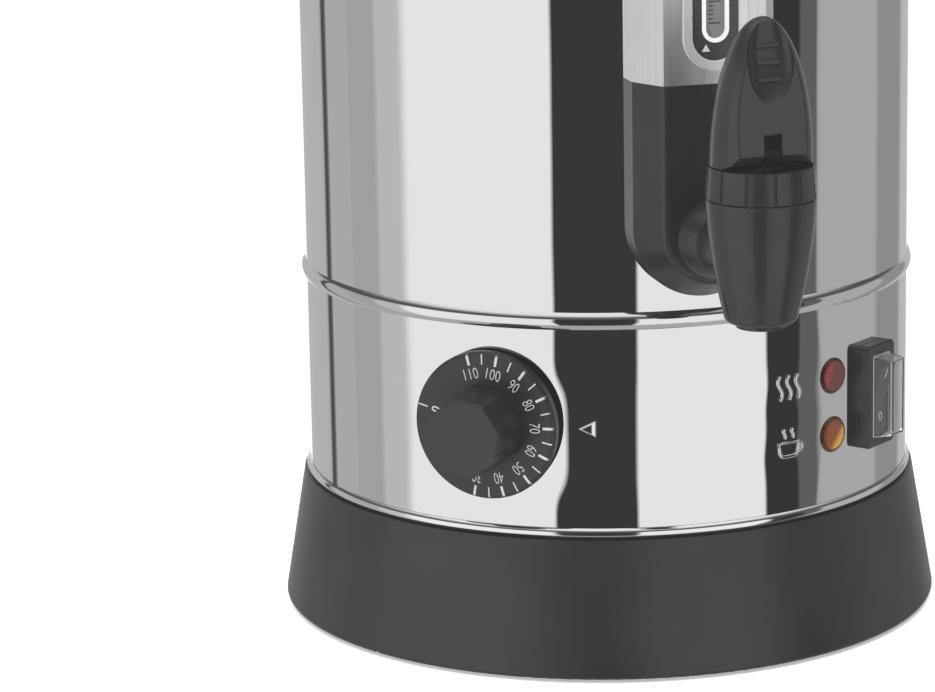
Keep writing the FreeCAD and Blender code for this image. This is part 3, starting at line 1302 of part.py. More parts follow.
def softened_face(hood):
    """Rounds the long edge between the lever's flat face and its bulging sides."""
    doc.recompute()
    fillet = doc.addObject("Part::Fillet", "lever_softened")
    fillet.Base = hood
    fillet.Edges = [
        (number, d.face_round.value, d.face_round.value)
        for number, edge in enumerate(hood.Shape.Edges, start=1)
        if edge.BoundBox.ZLength > d.thumb_height.value and edge.BoundBox.YMax < -tap_axis.value
    ]
    return fillet


def make_lever():
    ellipsoid = primitive("Part::Ellipsoid", tap_frame.at(z=lever_base, turn_x=d.lever_lean),
                          Radius1=d.lever_length, Radius2=d.lever_radius, Radius3=d.lever_radius)
    wide = d.lever_length * 2
    base = tap_frame.at(z=lever_base)
    below = block(base.at(z=-wide), wide, wide, wide)
    relief = block(base.at(y=-d.relief_start, turn_x=-d.relief_angle).at(y=-wide / 2, z=-wide), wide, wide, wide)
    steep = block(base.at(y=-d.relief_front, turn_x=-d.relief_front_angle).at(y=-wide / 2, z=-wide), wide, wide, wide)
    face = base.at(y=-d.lever_face, turn_x=-d.lever_face_lean)
    front = block(face.at(y=-wide / 2, z=-d.lever_face), wide, wide, wide)
    thumb_place = face.at(z=d.thumb_height, turn_x=-d.thumb_lean)
    thumb = primitive("Part::Ellipsoid", thumb_place, Radius1=d.thumb_half_tall,
                      Radius2=d.thumb_half_width, Radius3=d.thumb_depth)
    ridges = [
        cylinder(thumb_place.at(x=-d.ridge_length / 2, y=d.thumb_depth - d.ridge_radius / 2, z=d.ridge_pitch * step)
                 .at(turn_z=90, turn_x=90), d.ridge_radius, d.ridge_length)
        for step in (-1, 0, 1)
    ]
    notch = block(face.at(y=0, z=0), d.notch_width, d.lever_wall * 3, d.notch_level)
    hollow = common("lever_hollow", primitive("Part::Ellipsoid", base, Radius1=d.lever_hollow,
                                              Radius2=d.lever_radius - d.lever_wall,
                                              Radius3=d.lever_radius - d.lever_wall),
                    block(base.at(y=d.lever_radius - d.lever_face + d.lever_wall, z=-wide), wide,
                          d.lever_radius * 2, wide * 2))
    hood = softened_face(cut("lever_hood", ellipsoid, below, front))
    skin = cut("lever_skin", hood, relief, steep, thumb, notch, hollow)
    heel_radius = d.pin_height - bonnet_floor - d.contact
    hub = cylinder(pin_frame(d.hub_width / 2), heel_radius, d.hub_width)
    heel = cylinder(pin_frame(d.hub_width / 2).at(x=d.heel_reach), heel_radius, d.hub_width)
    cheeks = block(tap_frame.at(y=d.cheek_back, z=bonnet_floor + d.contact), d.hub_width, d.cheek_depth,
                   lever_base + d.lever_hollow + d.lever_wall - bonnet_floor - d.contact)
    gap = block(tap_frame.at(z=bonnet_floor), d.stem_width + d.stem_gap * 2, d.lever_radius,
                d.pin_height - bonnet_floor + stem_head + d.valve_lift)
    bore = cylinder(pin_frame(d.hub_width), d.pin_radius + d.running, d.hub_width * 2)
    keep(cut("tap_lever", fuse("lever_with_hub", skin, hub, heel, cheeks, *ridges), gap, bore))
    keep(named("lever_pin", cylinder(pin_frame(d.hub_width / 2), d.pin_radius, d.hub_width)))


def make_valve():
    seat = d.valve_seat + d.contact
    nose = d.seat_bore - 1
    keep(turned("valve_cup", tap_frame, [
        (0, seat - d.cup_nose), (nose, seat - d.cup_nose), (nose, seat), (d.cup_radius, seat),
        (d.cup_radius, seat + d.cup_height / 2),
        (d.cup_radius * 0.8, cup_top, d.cup_height), (0, cup_top),
    ]))
    head = bonnet_floor + d.contact
    rod = cylinder(tap_frame.at(z=cup_top), d.stem_radius, d.pin_height - cup_top)
    tab = block(tap_frame.at(z=head), d.stem_width, d.stem_radius * 2, d.pin_height + stem_head - head)
    hole = cylinder(pin_frame(d.stem_width), d.pin_radius + d.running, d.stem_width * 2)
    keep(cut("valve_stem", fuse("stem_blank", rod, tab), hole))
    low = cup_top + d.spring_wire + 0.2
    helix = primitive("Part::Helix", tap_frame.at(z=low), Radius=d.spring_radius,
                      Height=spring_top - d.spring_wire - 0.2 - low,
                      Pitch=(spring_top - d.spring_wire - 0.2 - low) / d.spring_turns)
    wire = primitive("Part::Circle", tap_frame.at(x=d.spring_radius, z=low, turn_x=90), Radius=d.spring_wire)
    spring = doc.addObject("Part::Sweep", "valve_spring")
    spring.Sections = [wire]
    spring.Spine = (helix, ["Edge1"])
    spring.Solid = True
    spring.Frenet = True
    keep(named("valve_spring", spring))


# Lid

lid_seat = d.tank_top + d.contact
lid_lip = shell_inner - d.lid_lip_gap
dome_top = d.tank_top + d.lid_dome


def make_lid():
    edge = d.shell_radius + d.lid_overhang
    roll = d.lid_edge / 2
    inner_lip = lid_lip - d.shell_wall
    under = lid_seat + d.lid_edge - d.shell_wall
    rise = dome_top - lid_seat - d.lid_edge
    inner_rise = dome_top - d.shell_wall - under
    body = turned("lid_blank", ground, [
        (inner_lip, lid_seat - d.lid_lip), (lid_lip, lid_seat - d.lid_lip), (lid_lip, lid_seat),
        (edge - roll, lid_seat), (edge, lid_seat + roll, roll), (edge - roll, lid_seat + d.lid_edge, roll),
        (lid_lip, lid_seat + d.lid_edge), (0, dome_top, dome_radius(lid_lip, rise)),
        (0, dome_top - d.shell_wall), (inner_lip, under, -dome_radius(inner_lip, inner_rise)),
    ])
    keep(cut("lid", body, cylinder(ground.at(z=d.tank_top), d.lid_screw_radius + d.contact, d.tank_top)))
    base = dome_top + d.contact
    hole = d.lid_screw_radius + d.contact
    depth = d.lid_knob_height / 2
    brim = d.lid_knob_brim
    neck_top = base + d.lid_neck_height
    crown = base + d.lid_knob_height * 0.7
    keep(turned("lid_knob", ground, [
        (hole, base), (d.lid_neck_radius, base), (d.lid_neck_radius * 0.85, neck_top, -d.lid_knob_height * 1.5),
        (d.lid_knob_radius - brim, neck_top), (d.lid_knob_radius, neck_top + brim, brim),
        (d.lid_knob_radius, crown), (0, base + d.lid_knob_height,
                                     dome_radius(d.lid_knob_radius, d.lid_knob_height * 0.3)),
        (0, base + depth), (hole, base + depth),
    ]))
    under_dome = dome_top - d.shell_wall - d.contact
    head = d.lid_screw_radius * 2
    crown = d.lid_screw_radius * 0.4
    rim = d.lid_screw_radius * 0.7
    keep(turned("lid_knob_screw", ground, [
        (0, under_dome - rim - crown), (head, under_dome - rim, dome_radius(head, crown)), (head, under_dome),
        (d.lid_screw_radius, under_dome), (d.lid_screw_radius, base + depth - 1), (0, base + depth - 1),
    ]))


# Side handles

def make_handles():
    bar_circle = d.shell_radius + d.handle_reach
    for label, side in (("handle_left", -90), ("handle_right", 90)):
        turn = upright(z=d.handle_height, azimuth=side).at(turn_z=-90 - d.handle_span / 2)
        pieces = [primitive("Part::Torus", turn, Radius1=bar_circle, Radius2=d.handle_radius, Angle3=d.handle_span)]
        tools = [wall_cylinder(wall_face)]
        for arm in (-0.5, 0.5):
            frame = radial(d.handle_span * arm + side, d.handle_height)
            start = frame.at(z=d.shell_radius - d.handle_foot_depth)
            pieces.append(sphere(frame.at(z=bar_circle), d.handle_radius))
            pieces.append(cylinder(start, d.handle_radius, d.handle_reach + d.handle_foot_depth))
            pieces.append(cone(start, d.handle_foot, d.handle_radius, d.handle_foot_depth * 2))
            tools.append(cylinder(frame, d.wall_screw + d.contact, d.shell_radius + d.screw_grip + 1))
        keep(cut(label, fuse(f"{label}_blank", *pieces), *tools))


# Safety cut-out and terminal block

def make_safety_cutout():
    place = ground.at(d.cutout_x, d.cutout_y)
    case = block(place.at(z=plate_top), d.cutout_width, d.cutout_depth, d.cutout_tall)
    collar = cylinder(place.at(z=d.plate_level), d.reset_collar, d.plate_wall * 2)
    bore = cylinder(place, d.reset_radius + d.running, plate_top + d.cutout_tall * 0.7)
    keep(cut("safety_cutout", fuse("cutout_case", case, collar), bore))
    start = d.plate_level - d.reset_travel - 0.4
    keep(turned("reset_button", place, [
        (0, start), (d.reset_radius - 0.5, start), (d.reset_radius, start + 0.5, 0.5),
        (d.reset_radius, plate_top + d.cutout_tall / 2), (0, plate_top + d.cutout_tall / 2),
    ]))


def make_terminal_block():
    place = ground.at(y=d.block_y, z=plate_top)
    case = block(place, d.block_width, d.block_depth, d.block_tall)
    step = d.block_width / d.poles
    holes = []
    for i in range(3):
        for side in (-1, 1):
            pole = place.at(x=step * (i - 1), y=d.block_depth / 4 * side)
            holes.append(cylinder(pole.at(z=d.block_tall / 2), size(2.2), d.block_tall))
    keep(cut("terminal_block", case, *holes))


for make in (
    make_base_ring, make_base_plate, make_feet, make_case_screws, make_trim_ring, make_cord_gland,
    make_lower_shell, make_tank, make_wall_screws, make_heater, make_thermostat, make_knob, make_sensor,
    make_lamps, make_switch_frame, make_switch_body, make_rocker_key, make_switch_boot, make_spades,
    make_gauge_case, make_window, make_sight_tube, make_tap_shank, make_tap_body, make_bonnet, make_lever,
    make_valve, make_lid, make_handles, make_safety_cutout, make_terminal_block,
):
    make()
doc.recompute()

for obj in doc.Objects:
    if "Invalid" in obj.State or "Error" in obj.State:
        raise RuntimeError(f"{obj.Label} failed: {obj.State}")
os.makedirs("parts", exist_ok=True)
for part in parts:
    if part.Shape.isNull() or not part.Shape.isValid():
        raise RuntimeError(f"{part.Label} has no valid shape")
    part.Shape.exportStep(f"parts/{part.Label}.step")
    box = part.Shape.BoundBox
    print(f"{part.Label}: {len(part.Shape.Solids)} solids, {part.Shape.Volume / 1000:.2f} cm3,",
          f"z {box.ZMin:.1f} to {box.ZMax:.1f}")
print(len(parts), "sub-parts")
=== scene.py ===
# %% [markdown]
# # A mulled wine urn in a white studio
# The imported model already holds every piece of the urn, in metres, where it belongs. This lesson
# gives those pieces their finishes, and adds what is printed or pressed on them: the dial's scale,
# the signs beside the controls, the gauge's marks. It ends with the studio that the steel mirrors.

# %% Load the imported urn
import json
import math

import bmesh
import bpy
from mathutils import Matrix, Vector
from mathutils.bvhtree import BVHTree


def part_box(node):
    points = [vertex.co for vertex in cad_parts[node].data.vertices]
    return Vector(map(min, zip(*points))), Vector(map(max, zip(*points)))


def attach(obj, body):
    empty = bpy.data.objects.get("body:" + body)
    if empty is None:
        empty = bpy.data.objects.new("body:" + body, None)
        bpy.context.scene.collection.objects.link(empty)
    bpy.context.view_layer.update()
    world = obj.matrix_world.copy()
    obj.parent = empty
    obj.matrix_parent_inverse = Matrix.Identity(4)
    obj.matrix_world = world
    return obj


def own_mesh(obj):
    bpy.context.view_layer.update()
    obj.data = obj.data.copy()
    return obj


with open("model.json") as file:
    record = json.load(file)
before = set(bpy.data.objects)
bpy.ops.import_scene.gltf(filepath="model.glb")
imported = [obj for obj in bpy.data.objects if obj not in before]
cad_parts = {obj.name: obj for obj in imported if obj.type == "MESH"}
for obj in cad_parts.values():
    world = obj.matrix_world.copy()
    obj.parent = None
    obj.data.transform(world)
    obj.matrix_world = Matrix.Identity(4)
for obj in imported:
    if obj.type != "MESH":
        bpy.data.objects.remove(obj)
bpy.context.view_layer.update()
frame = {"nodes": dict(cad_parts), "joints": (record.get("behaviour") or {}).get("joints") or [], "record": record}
nodes = frame["nodes"]
joints = {joint["name"]: joint for joint in frame["joints"]}
slots = {part["node"]: part["material_slot"] for part in frame["record"]["subparts"]}
MM = 0.001

# %% [markdown]
# ## Small tools
# Every finish and every Geometry Nodes tree is a net of nodes, so one function adds a node with its
# settings and its links, and one adds a sum. Colours are written as sRGB hex, as a picture program
# shows them, and shaders want linear numbers, so one function turns them.

# %% Add a node, add a sum, read a colour
def node(tree, kind, inputs=None, **settings):
    """Adds a node. An input that is another node's socket is linked, anything else is typed in."""
    made = tree.nodes.new(kind)
    for name, value in settings.items():
        setattr(made, name, value)
    for key, value in (inputs or {}).items():
        if isinstance(value, bpy.types.NodeSocket):
            tree.links.new(value, made.inputs[key])
        else:
            made.inputs[key].default_value = value
    return made


def math_node(tree, operation, *values):
    """A sum of sockets and numbers, such as "ADD" or "SINE", as a socket."""
    return node(tree, "ShaderNodeMath", dict(enumerate(values)), operation=operation).outputs["Value"]


def colour(code):
    """An sRGB hex colour such as "c8c8c6" as linear red, green, blue and alpha."""
    parts = [int(code[i:i + 2], 16) / 255 for i in (0, 2, 4)]
    return (*[p / 12.92 if p <= 0.04045 else ((p + 0.055) / 1.055) ** 2.4 for p in parts], 1)


print("mid grey is", round(colour("808080")[0], 3), "in linear light")

# %% [markdown]
# ## The camera
# The picture looks slightly down on the urn from its front left, through a long lens, so the rings
# are flat ellipses and the upright sides hardly lean. Its place was worked out from those rings.

# %% Camera at the picture's viewing angle
IMAGE_WIDTH = 935
FOCAL_PIXELS = 3891
SENSOR = 36
CAMERA_PLACE = Vector((-0.4320, -1.4623, 0.4626))
PITCH, YAW, ROLL, TURN = (math.radians(angle) for angle in (13.37, -2.10, -1.09, -16.46))

forward = Vector((math.sin(YAW) * math.cos(PITCH), math.cos(YAW) * math.cos(PITCH), -math.sin(PITCH)))
level = Vector((math.cos(YAW), -math.sin(YAW), 0))
upward = level.cross(forward)
right = math.cos(ROLL) * level + math.sin(ROLL) * upward
up = math.cos(ROLL) * upward - math.sin(ROLL) * level
lens = bpy.data.cameras.new("camera")
lens.lens = FOCAL_PIXELS / IMAGE_WIDTH * SENSOR
lens.sensor_width = SENSOR
camera = bpy.data.objects.new("camera", lens)
bpy.context.scene.collection.objects.link(camera)
looking = Matrix((right, up, -forward)).transposed().to_4x4()
camera.matrix_world = Matrix.Translation(CAMERA_PLACE) @ Matrix.Rotation(TURN, 4, "Z") @ looking
bpy.context.scene.camera = camera
print(f"camera {CAMERA_PLACE.length:.2f} m away, lens {lens.lens:.0f} mm")

# %% [markdown]
# ## Plastics
# Moulded ABS and polypropylene take their skin from the steel mould. A polished mould gives the
# tap its gloss, a spark-eroded one gives the base its fine dull grain. Both are nearly black, and
# what the eye reads is the soft reflection of the studio, so the roughness matters most. A large,
# faint wave stands for the sink of a moulding, and a fine noise for its grain.

# %% Start of a finish, its noises and its colours
def finish(name, **values):
    """A material with its shader. Values that are the same all over are typed into the shader."""
    made = bpy.data.materials.new(name)
    made.use_nodes = True
    shader = made.node_tree.nodes["Principled BSDF"]
    for key, value in values.items():
        shader.inputs[key.replace("_", " ")].default_value = value
    return made, made.node_tree, shader


def grain(tree, size, stretch=(1, 1, 1), detail=2.0):
    """Noise whose grains are that many metres wide, stretched along the object's own axes."""
    place = node(tree, "ShaderNodeTexCoord").outputs["Object"]
    scale = [1 / (size * along) for along in stretch]
    turned = node(tree, "ShaderNodeMapping", {"Vector": place, "Scale": scale}).outputs["Vector"]
    noise = node(tree, "ShaderNodeTexNoise", {"Vector": turned, "Scale": 1.0, "Detail": detail})
    return noise.outputs["Fac"]


def spread(tree, factor, low, high):
    """Spreads a noise over the range from low to high."""
    return node(tree, "ShaderNodeMapRange", {"Value": factor, "From Min": 0.3, "From Max": 0.7,
                                             "To Min": low, "To Max": high}).outputs["Result"]


def ease(tree, value, start, stop):
    """Rises smoothly from 0 at start to 1 at stop."""
    inputs = {"Value": value, "From Min": start, "From Max": stop}
    return node(tree, "ShaderNodeMapRange", inputs, interpolation_type="SMOOTHSTEP").outputs["Result"]


def blend(tree, factor, first, second):
    """Mixes two colours, each a socket or sRGB hex. The mix node has its colours in sockets 6 and 7."""
    pair = [colour(c) if isinstance(c, str) else c for c in (first, second)]
    mixed = node(tree, "ShaderNodeMix", {0: factor, 6: pair[0], 7: pair[1]}, data_type="RGBA")
    return mixed.outputs[2]


print("a finish starts from one shader, which its noises steer")


# %% What a noise can steer
def tint(tree, shader, noise, dark, light):
    """Lets a noise steer the shader's colour."""
    tree.links.new(blend(tree, spread(tree, noise, 0, 1), dark, light), shader.inputs["Base Color"])


def gloss(tree, shader, noise, smooth, rough):
    """Lets a noise steer the shader's roughness."""
    tree.links.new(spread(tree, noise, smooth, rough), shader.inputs["Roughness"])


def relief(tree, shader, layers):
    """Stacks bumps on the shader's normal. A layer is a noise and its height in metres."""
    normal = None
    for factor, height in layers:
        inputs = {"Height": factor, "Distance": height, "Strength": 1.0}
        if normal:
            inputs["Normal"] = normal
        normal = node(tree, "ShaderNodeBump", inputs).outputs["Normal"]
    tree.links.new(normal, shader.inputs["Normal"])


print("a noise steers a shader's colour, its gloss or its relief")


# %% Plastics
def moulded(name, dark, light, smooth, rough, size, depth, **values):
    """A moulded plastic: mottled colour, uneven gloss, and a grain of that size and depth."""
    made, tree, shader = finish(name, IOR=1.5, **values)
    fine = grain(tree, size)
    wide = grain(tree, 30 * MM)
    tint(tree, shader, wide, dark, light)
    gloss(tree, shader, fine, smooth, rough)
    relief(tree, shader, [(fine, depth), (wide, 0.02 * MM)])
    return made


finishes = {
    # Polypropylene from a spark-eroded mould: a dull, even grain that breaks up every highlight.
    "base_plastic": moulded("moulded polypropylene", "2b2c2b", "303231", 0.32, 0.38,
                            0.9 * MM, 0.004 * MM, Specular_IOR_Level=0.55),
    # ABS from a polished mould: glossy, with soft highlights along the tap and the gauge's housing.
    "tap_plastic": moulded("moulded ABS", "2b2b2b", "303131", 0.24, 0.27, 3 * MM, 0.0005 * MM),
    # Glass-filled PBT for the warm dial: satin, a little lighter where it faces up.
    "knob_plastic": moulded("moulded PBT", "2a2b2b", "303131", 0.28, 0.36, 0.8 * MM, 0.002 * MM),
    # Nylon of the bought-in switch: the glossiest of the black pieces.
    "switch_plastic": moulded("moulded nylon", "2e2e2d", "343433", 0.16, 0.22, 1.2 * MM, 0.001 * MM),
    # Heat-proof phenolic resin: brown-black with a fine filler that shows as specks.
    "heat_plastic": moulded("pressed phenolic resin", "2b211c", "3a2e27", 0.42, 0.55,
                            0.6 * MM, 0.01 * MM),
    # Rubber feet: dull and slightly dusty.
    "black_rubber": moulded("moulded rubber", "222221", "2b2b2a", 0.70, 0.85, 0.5 * MM, 0.02 * MM),
    # Silicone seals: milky and soft.
    "silicone": moulded("moulded silicone", "b9b6ae", "cbc8c0", 0.40, 0.52, 0.8 * MM, 0.004 * MM,
                        Subsurface_Weight=0.2, Subsurface_Scale=1.5 * MM),
}
print("plastics:", ", ".join(finishes))

# %% [markdown]
# ## Metals
# The tank and the shell below it are rolled stainless sheet, polished to a mirror. A mirror shows
# what stands around it, so the finish itself is little: a faint wave left by rolling, which makes
# the edges of reflections wander, and hair-fine polishing lines. Where signs were pressed up from
# the lower shell, its sheet swells a little round them. The gauge's cover is brushed along its
# length instead, with lines about a quarter of a millimetre wide that streak light and dark.

# %% Polished sheet
SHELL_RADIUS = 120 * MM
# The bulges round the pointer, the heat sign and the cup sign: azimuth in degrees, height, half
# width, half height, how flat the middle is, and depth.
BULGES = ((-20.0, 92.5 * MM, 9 * MM, 23.4 * MM, 6.0, 0.42 * MM),
          (14.5, 105 * MM, 15 * MM, 8 * MM, 2.0, 0.22 * MM),
          (12.5, 84 * MM, 17 * MM, 8 * MM, 2.0, 0.22 * MM))


def polished(name, code, smooth, rough, wave, bulges=()):
    """Polished sheet: a mirror with a wave that many metres deep, and fine polishing lines up it."""
    made, tree, shader = finish(name, Metallic=1.0, Base_Color=colour(code))
    lines = grain(tree, 0.5 * MM, (40, 40, 1))
    slow = grain(tree, 46 * MM, (1, 1, 1.3), 1.0)
    gloss(tree, shader, lines, smooth, rough)
    relief(tree, shader, [(slow, wave)] + [(swelling(tree, *place), deep) for *place, deep in bulges])
    return made


def swelling(tree, azimuth, height, wide, tall, power):
    """How far a point of the shell lies on a shallow bulge, from 1 at its middle down to 0."""
    place = node(tree, "ShaderNodeTexCoord").outputs["Object"]
    at = node(tree, "ShaderNodeSeparateXYZ", {"Vector": place}).outputs
    turn = math_node(tree, "ARCTAN2", at["X"], math_node(tree, "MULTIPLY", at["Y"], -1.0))
    beside = math_node(tree, "SUBTRACT", turn, math.radians(azimuth))
    across = math_node(tree, "MULTIPLY", beside, SHELL_RADIUS / wide)
    upright = math_node(tree, "DIVIDE", math_node(tree, "SUBTRACT", at["Z"], height), tall)
    across = math_node(tree, "POWER", math_node(tree, "ABSOLUTE", across), 2.0)
    upright = math_node(tree, "POWER", math_node(tree, "ABSOLUTE", upright), power)
    far = math_node(tree, "ADD", across, upright)
    return math_node(tree, "EXPONENT", math_node(tree, "MULTIPLY", far, -1.0))


finishes.update({
    # 18/8 stainless sheet, mirror polished.
    "mirror_steel": polished("polished stainless steel", "e6e6e6", 0.0, 0.015, 0.10 * MM),
    # The same sheet where signs were pressed up from it, so that its mirror narrows and widens.
    "pressed_steel": polished("pressed stainless steel", "e6e6e6", 0.0, 0.015, 0.14 * MM, BULGES),
    # Chromed ABS and rolled trim: brighter than steel, and almost without a wave.
    "bright_trim": polished("chrome plate", "eeeeee", 0.06, 0.10, 0.02 * MM),
})
print("polished sheet: mirror_steel, pressed_steel, bright_trim")


# %% Brushed, drawn, plated and cast metals
def brushed(name, dark, light, along):
    """Brushed sheet: streaks a quarter of a millimetre wide that run far along one axis."""
    made, tree, shader = finish(name, Metallic=1.0, Anisotropic=0.4)
    streaks = grain(tree, 0.28 * MM, along, 3.0)
    bands = grain(tree, 2.2 * MM, along, 2.0)
    mean = math_node(tree, "MULTIPLY", math_node(tree, "ADD", streaks, bands), 0.5)
    tint(tree, shader, mean, dark, light)
    gloss(tree, shader, streaks, 0.38, 0.50)
    tangent = node(tree, "ShaderNodeTangent", direction_type="RADIAL", axis="Z")
    tree.links.new(tangent.outputs["Tangent"], shader.inputs["Tangent"])
    relief(tree, shader, [(streaks, 0.003 * MM)])
    return made


def plated(name, dark, light, smooth, rough, size, depth):
    """A metal whose colour and gloss change from patch to patch: plating, casting or wire drawing."""
    made, tree, shader = finish(name, Metallic=1.0)
    patch = grain(tree, size)
    tint(tree, shader, patch, dark, light)
    gloss(tree, shader, patch, smooth, rough)
    relief(tree, shader, [(patch, depth)])
    return made


finishes.update({
    # Stainless sheet brushed up and down.
    "brushed_steel": brushed("brushed stainless steel", "e6e6e6", "ffffff", (1, 1, 160)),
    # Turned or drawn stainless for pins, screws and the heating element.
    "stainless": plated("drawn stainless steel", "a9a7a3", "cfcdc9", 0.20, 0.34, 0.7 * MM, 0.004 * MM),
    # Zinc-plated sheet, with the cloudy patches of its plating.
    "plain_steel": plated("zinc-plated steel", "9a9c9c", "c2c3c1", 0.30, 0.46, 3 * MM, 0.004 * MM),
    # Cast and faced aluminium under the tank.
    "aluminium_plate": plated("cast aluminium", "b4b5b6", "cfd0d0", 0.38, 0.55, 1.2 * MM, 0.02 * MM),
    # Drawn copper, already a little brown.
    "copper": plated("drawn copper", "a9683f", "d18f63", 0.24, 0.42, 4 * MM, 0.003 * MM),
    # Pressed brass of terminals.
    "brass": plated("pressed brass", "a98e4e", "cdb26a", 0.24, 0.40, 3 * MM, 0.003 * MM),
})
print(len(finishes), "plastics and metals")

# %% [markdown]
# ## Clear and coloured plastics, paint
# A pilot lamp's lens is dyed polycarbonate over a small neon lamp. Its colour carries painted shade
# that darkens its rim, and a painted highlight, a light patch on one side. The boot over the switch is
# clear PVC. The gauge's strip is acrylic with a pale back, its panel is lacquered black, the frame
# round it is painted silver, and the border of its slot is white.

# %% The lamps' lenses
# Where the painted shade of the rim sets in, from the lens's middle, and where the painted highlight does.
LENS_RIM_PAINTED_SHADE = (5.1 * MM, 6.1 * MM)
LENS_PAINTED_HIGHLIGHT = (0.6 * MM, 4.2 * MM)


def middle(name):
    """The azimuth and the height of a CAD piece's middle, seen from the tank's axis."""
    low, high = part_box(name)
    centre = (low + high) / 2
    return math.atan2(centre.x, -centre.y), centre.z


def lens_plastic(name, piece, dark, deep, light, patch):
    """Dyed plastic: painted shade at its rim, a deep middle, and a painted highlight that many degrees from its
    right.
    """
    made, tree, shader = finish(name, IOR=1.5, Roughness=0.1, Coat_Weight=0.4, Coat_Roughness=0.04)
    azimuth, height = middle(piece)
    place = node(tree, "ShaderNodeTexCoord").outputs["Object"]
    turned = node(tree, "ShaderNodeMapping", {
        "Vector": place, "Location": (0, 0, -height), "Rotation": (0, 0, -azimuth)}).outputs["Vector"]
    flat = node(tree, "ShaderNodeVectorMath", {0: turned, 1: (1, 0, 1)}, operation="MULTIPLY")
    flat = flat.outputs["Vector"]
    far = node(tree, "ShaderNodeVectorMath", {0: flat}, operation="LENGTH").outputs["Value"]
    side = (math.cos(math.radians(patch)), 0, math.sin(math.radians(patch)))
    beside = node(tree, "ShaderNodeVectorMath", {0: flat, 1: side}, operation="DOT_PRODUCT")
    cloud = spread(tree, grain(tree, 1.2 * MM), -0.4 * MM, 0.4 * MM)
    near = math_node(tree, "ADD", beside.outputs["Value"], cloud)
    # Painted highlight: a light patch on one side of the lens is painted into its colour.
    inner = blend(tree, ease(tree, near, *LENS_PAINTED_HIGHLIGHT), deep, light)
    # Painted shade: the colour darkens towards the lens's rim.
    whole = blend(tree, ease(tree, far, *LENS_RIM_PAINTED_SHADE), inner, dark)
    tree.links.new(whole, shader.inputs["Base Color"])
    flutes = node(tree, "ShaderNodeTexWave", {"Vector": flat, "Scale": 1 / (9 * MM)}, wave_type="RINGS",
                  rings_direction="SPHERICAL").outputs["Fac"]
    relief(tree, shader, [(flutes, 0.03 * MM)])
    return made


finishes.update({
    # Each lens: painted shade at the rim, its own deep colour, then a painted highlight.
    "red_lens": lens_plastic("red polycarbonate", "heating_lamp_lens",
                             "2a1a18", "66302c", "93363a", 160),
    "amber_lens": lens_plastic("amber polycarbonate", "warm_lamp_lens",
                               "3c2816", "7c451f", "cf9838", -40),
})
print("lenses: red_lens, amber_lens")


# %% Boot, strip and paint
def clear(name, code, smooth, rough):
    """Clear plastic, a little uneven in its gloss."""
    made, tree, shader = finish(name, IOR=1.45, Transmission_Weight=1.0)
    cloud = grain(tree, 6 * MM)
    tree.links.new(blend(tree, cloud, code, "ffffff"), shader.inputs["Base Color"])
    gloss(tree, shader, cloud, smooth, rough)
    relief(tree, shader, [(cloud, 0.02 * MM)])
    return made


def painted(name, dark, light, size, smooth, rough, **values):
    """A smooth finish: one noise steers its colour and its gloss. Size is that noise's grain."""
    made, tree, shader = finish(name, **values)
    patch = grain(tree, *size)
    tint(tree, shader, patch, dark, light)
    gloss(tree, shader, patch, smooth, rough)
    return made


finishes.update({
    # Silver paint on ABS for the gauge's frame: flakes in a clear binder, light from any side.
    "silver_paint": painted("silver paint", "d6d6d6", "e6e6e6", (0.6 * MM,), 0.32, 0.42,
                            Metallic=0.55, Coat_Weight=0.3, Coat_Roughness=0.12),
    # Clear acrylic with a pale film behind it, so that it looks grey and lets a little through.
    "strip_plastic": painted("backed acrylic", "8a8d8d", "9a9d9d", (5 * MM, (1, 1, 4)), 0.10, 0.16,
                             IOR=1.49, Transmission_Weight=0.3),
    "clear_plastic": clear("clear PVC", "f4f6f6", 0.02, 0.06),
    "panel_black": moulded("black lacquer", "3a3a39", "40403f", 0.22, 0.28, 1.4 * MM, 0.001 * MM),
    "slot_white": moulded("white ABS", "f0f0ef", "f8f8f7", 0.28, 0.36, 1.0 * MM, 0.002 * MM),
})
# These pieces have a finish of their own. The others have the one that their slot is named after.
DRESSED = {"lower_shell": "pressed_steel",
           "gauge_frame": "silver_paint",
           "gauge_window": "strip_plastic"}
for name, piece in nodes.items():
    piece.data.materials[0] = finishes[DRESSED.get(name, slots[name])]
print(len(finishes), "finishes on", len(nodes), "pieces")

# %% [markdown]
# ## Setting things down on the urn
# A printed mark or a raised sign has to follow what carries it, flat or round. So each mark is
# first drawn flat, with x to the right, y up and z as its height, and is then let down on the
# surface point by point, along the way that the surface is looked at.

# %% Frames on the wall, and a way to let things down
# How far in front of its place a mark's way down to the surface starts.
ABOVE = 12 * MM


def on_wall(azimuth, height, distance):
    """A frame that far from the tank's axis: x to the right, y up, z outwards."""
    out = Vector((math.sin(azimuth), -math.cos(azimuth), 0))
    across = Vector((math.cos(azimuth), math.sin(azimuth), 0))
    made = Matrix((across, Vector((0, 0, 1)), out)).transposed().to_4x4()
    return Matrix.Translation(out * distance + Vector((0, 0, height))) @ made


def skin(name):
    """A search tree of a CAD piece's surface."""
    mesh = nodes[name].data
    return BVHTree.FromPolygons([v.co for v in mesh.vertices], [p.vertices for p in mesh.polygons])


def let_down(mesh, place, surface):
    """Lets a flat mesh down on a surface. What misses the surface stays in the plane of its place."""
    outwards = (place.to_3x3() @ Vector((0, 0, 1))).normalized()
    for vertex in mesh.vertices:
        above = place @ Vector((vertex.co.x, vertex.co.y, ABOVE))
        hit = surface.ray_cast(above, -outwards, 2 * ABOVE)[0]
        ground = hit if hit else above - outwards * ABOVE
        vertex.co = ground + outwards * vertex.co.z


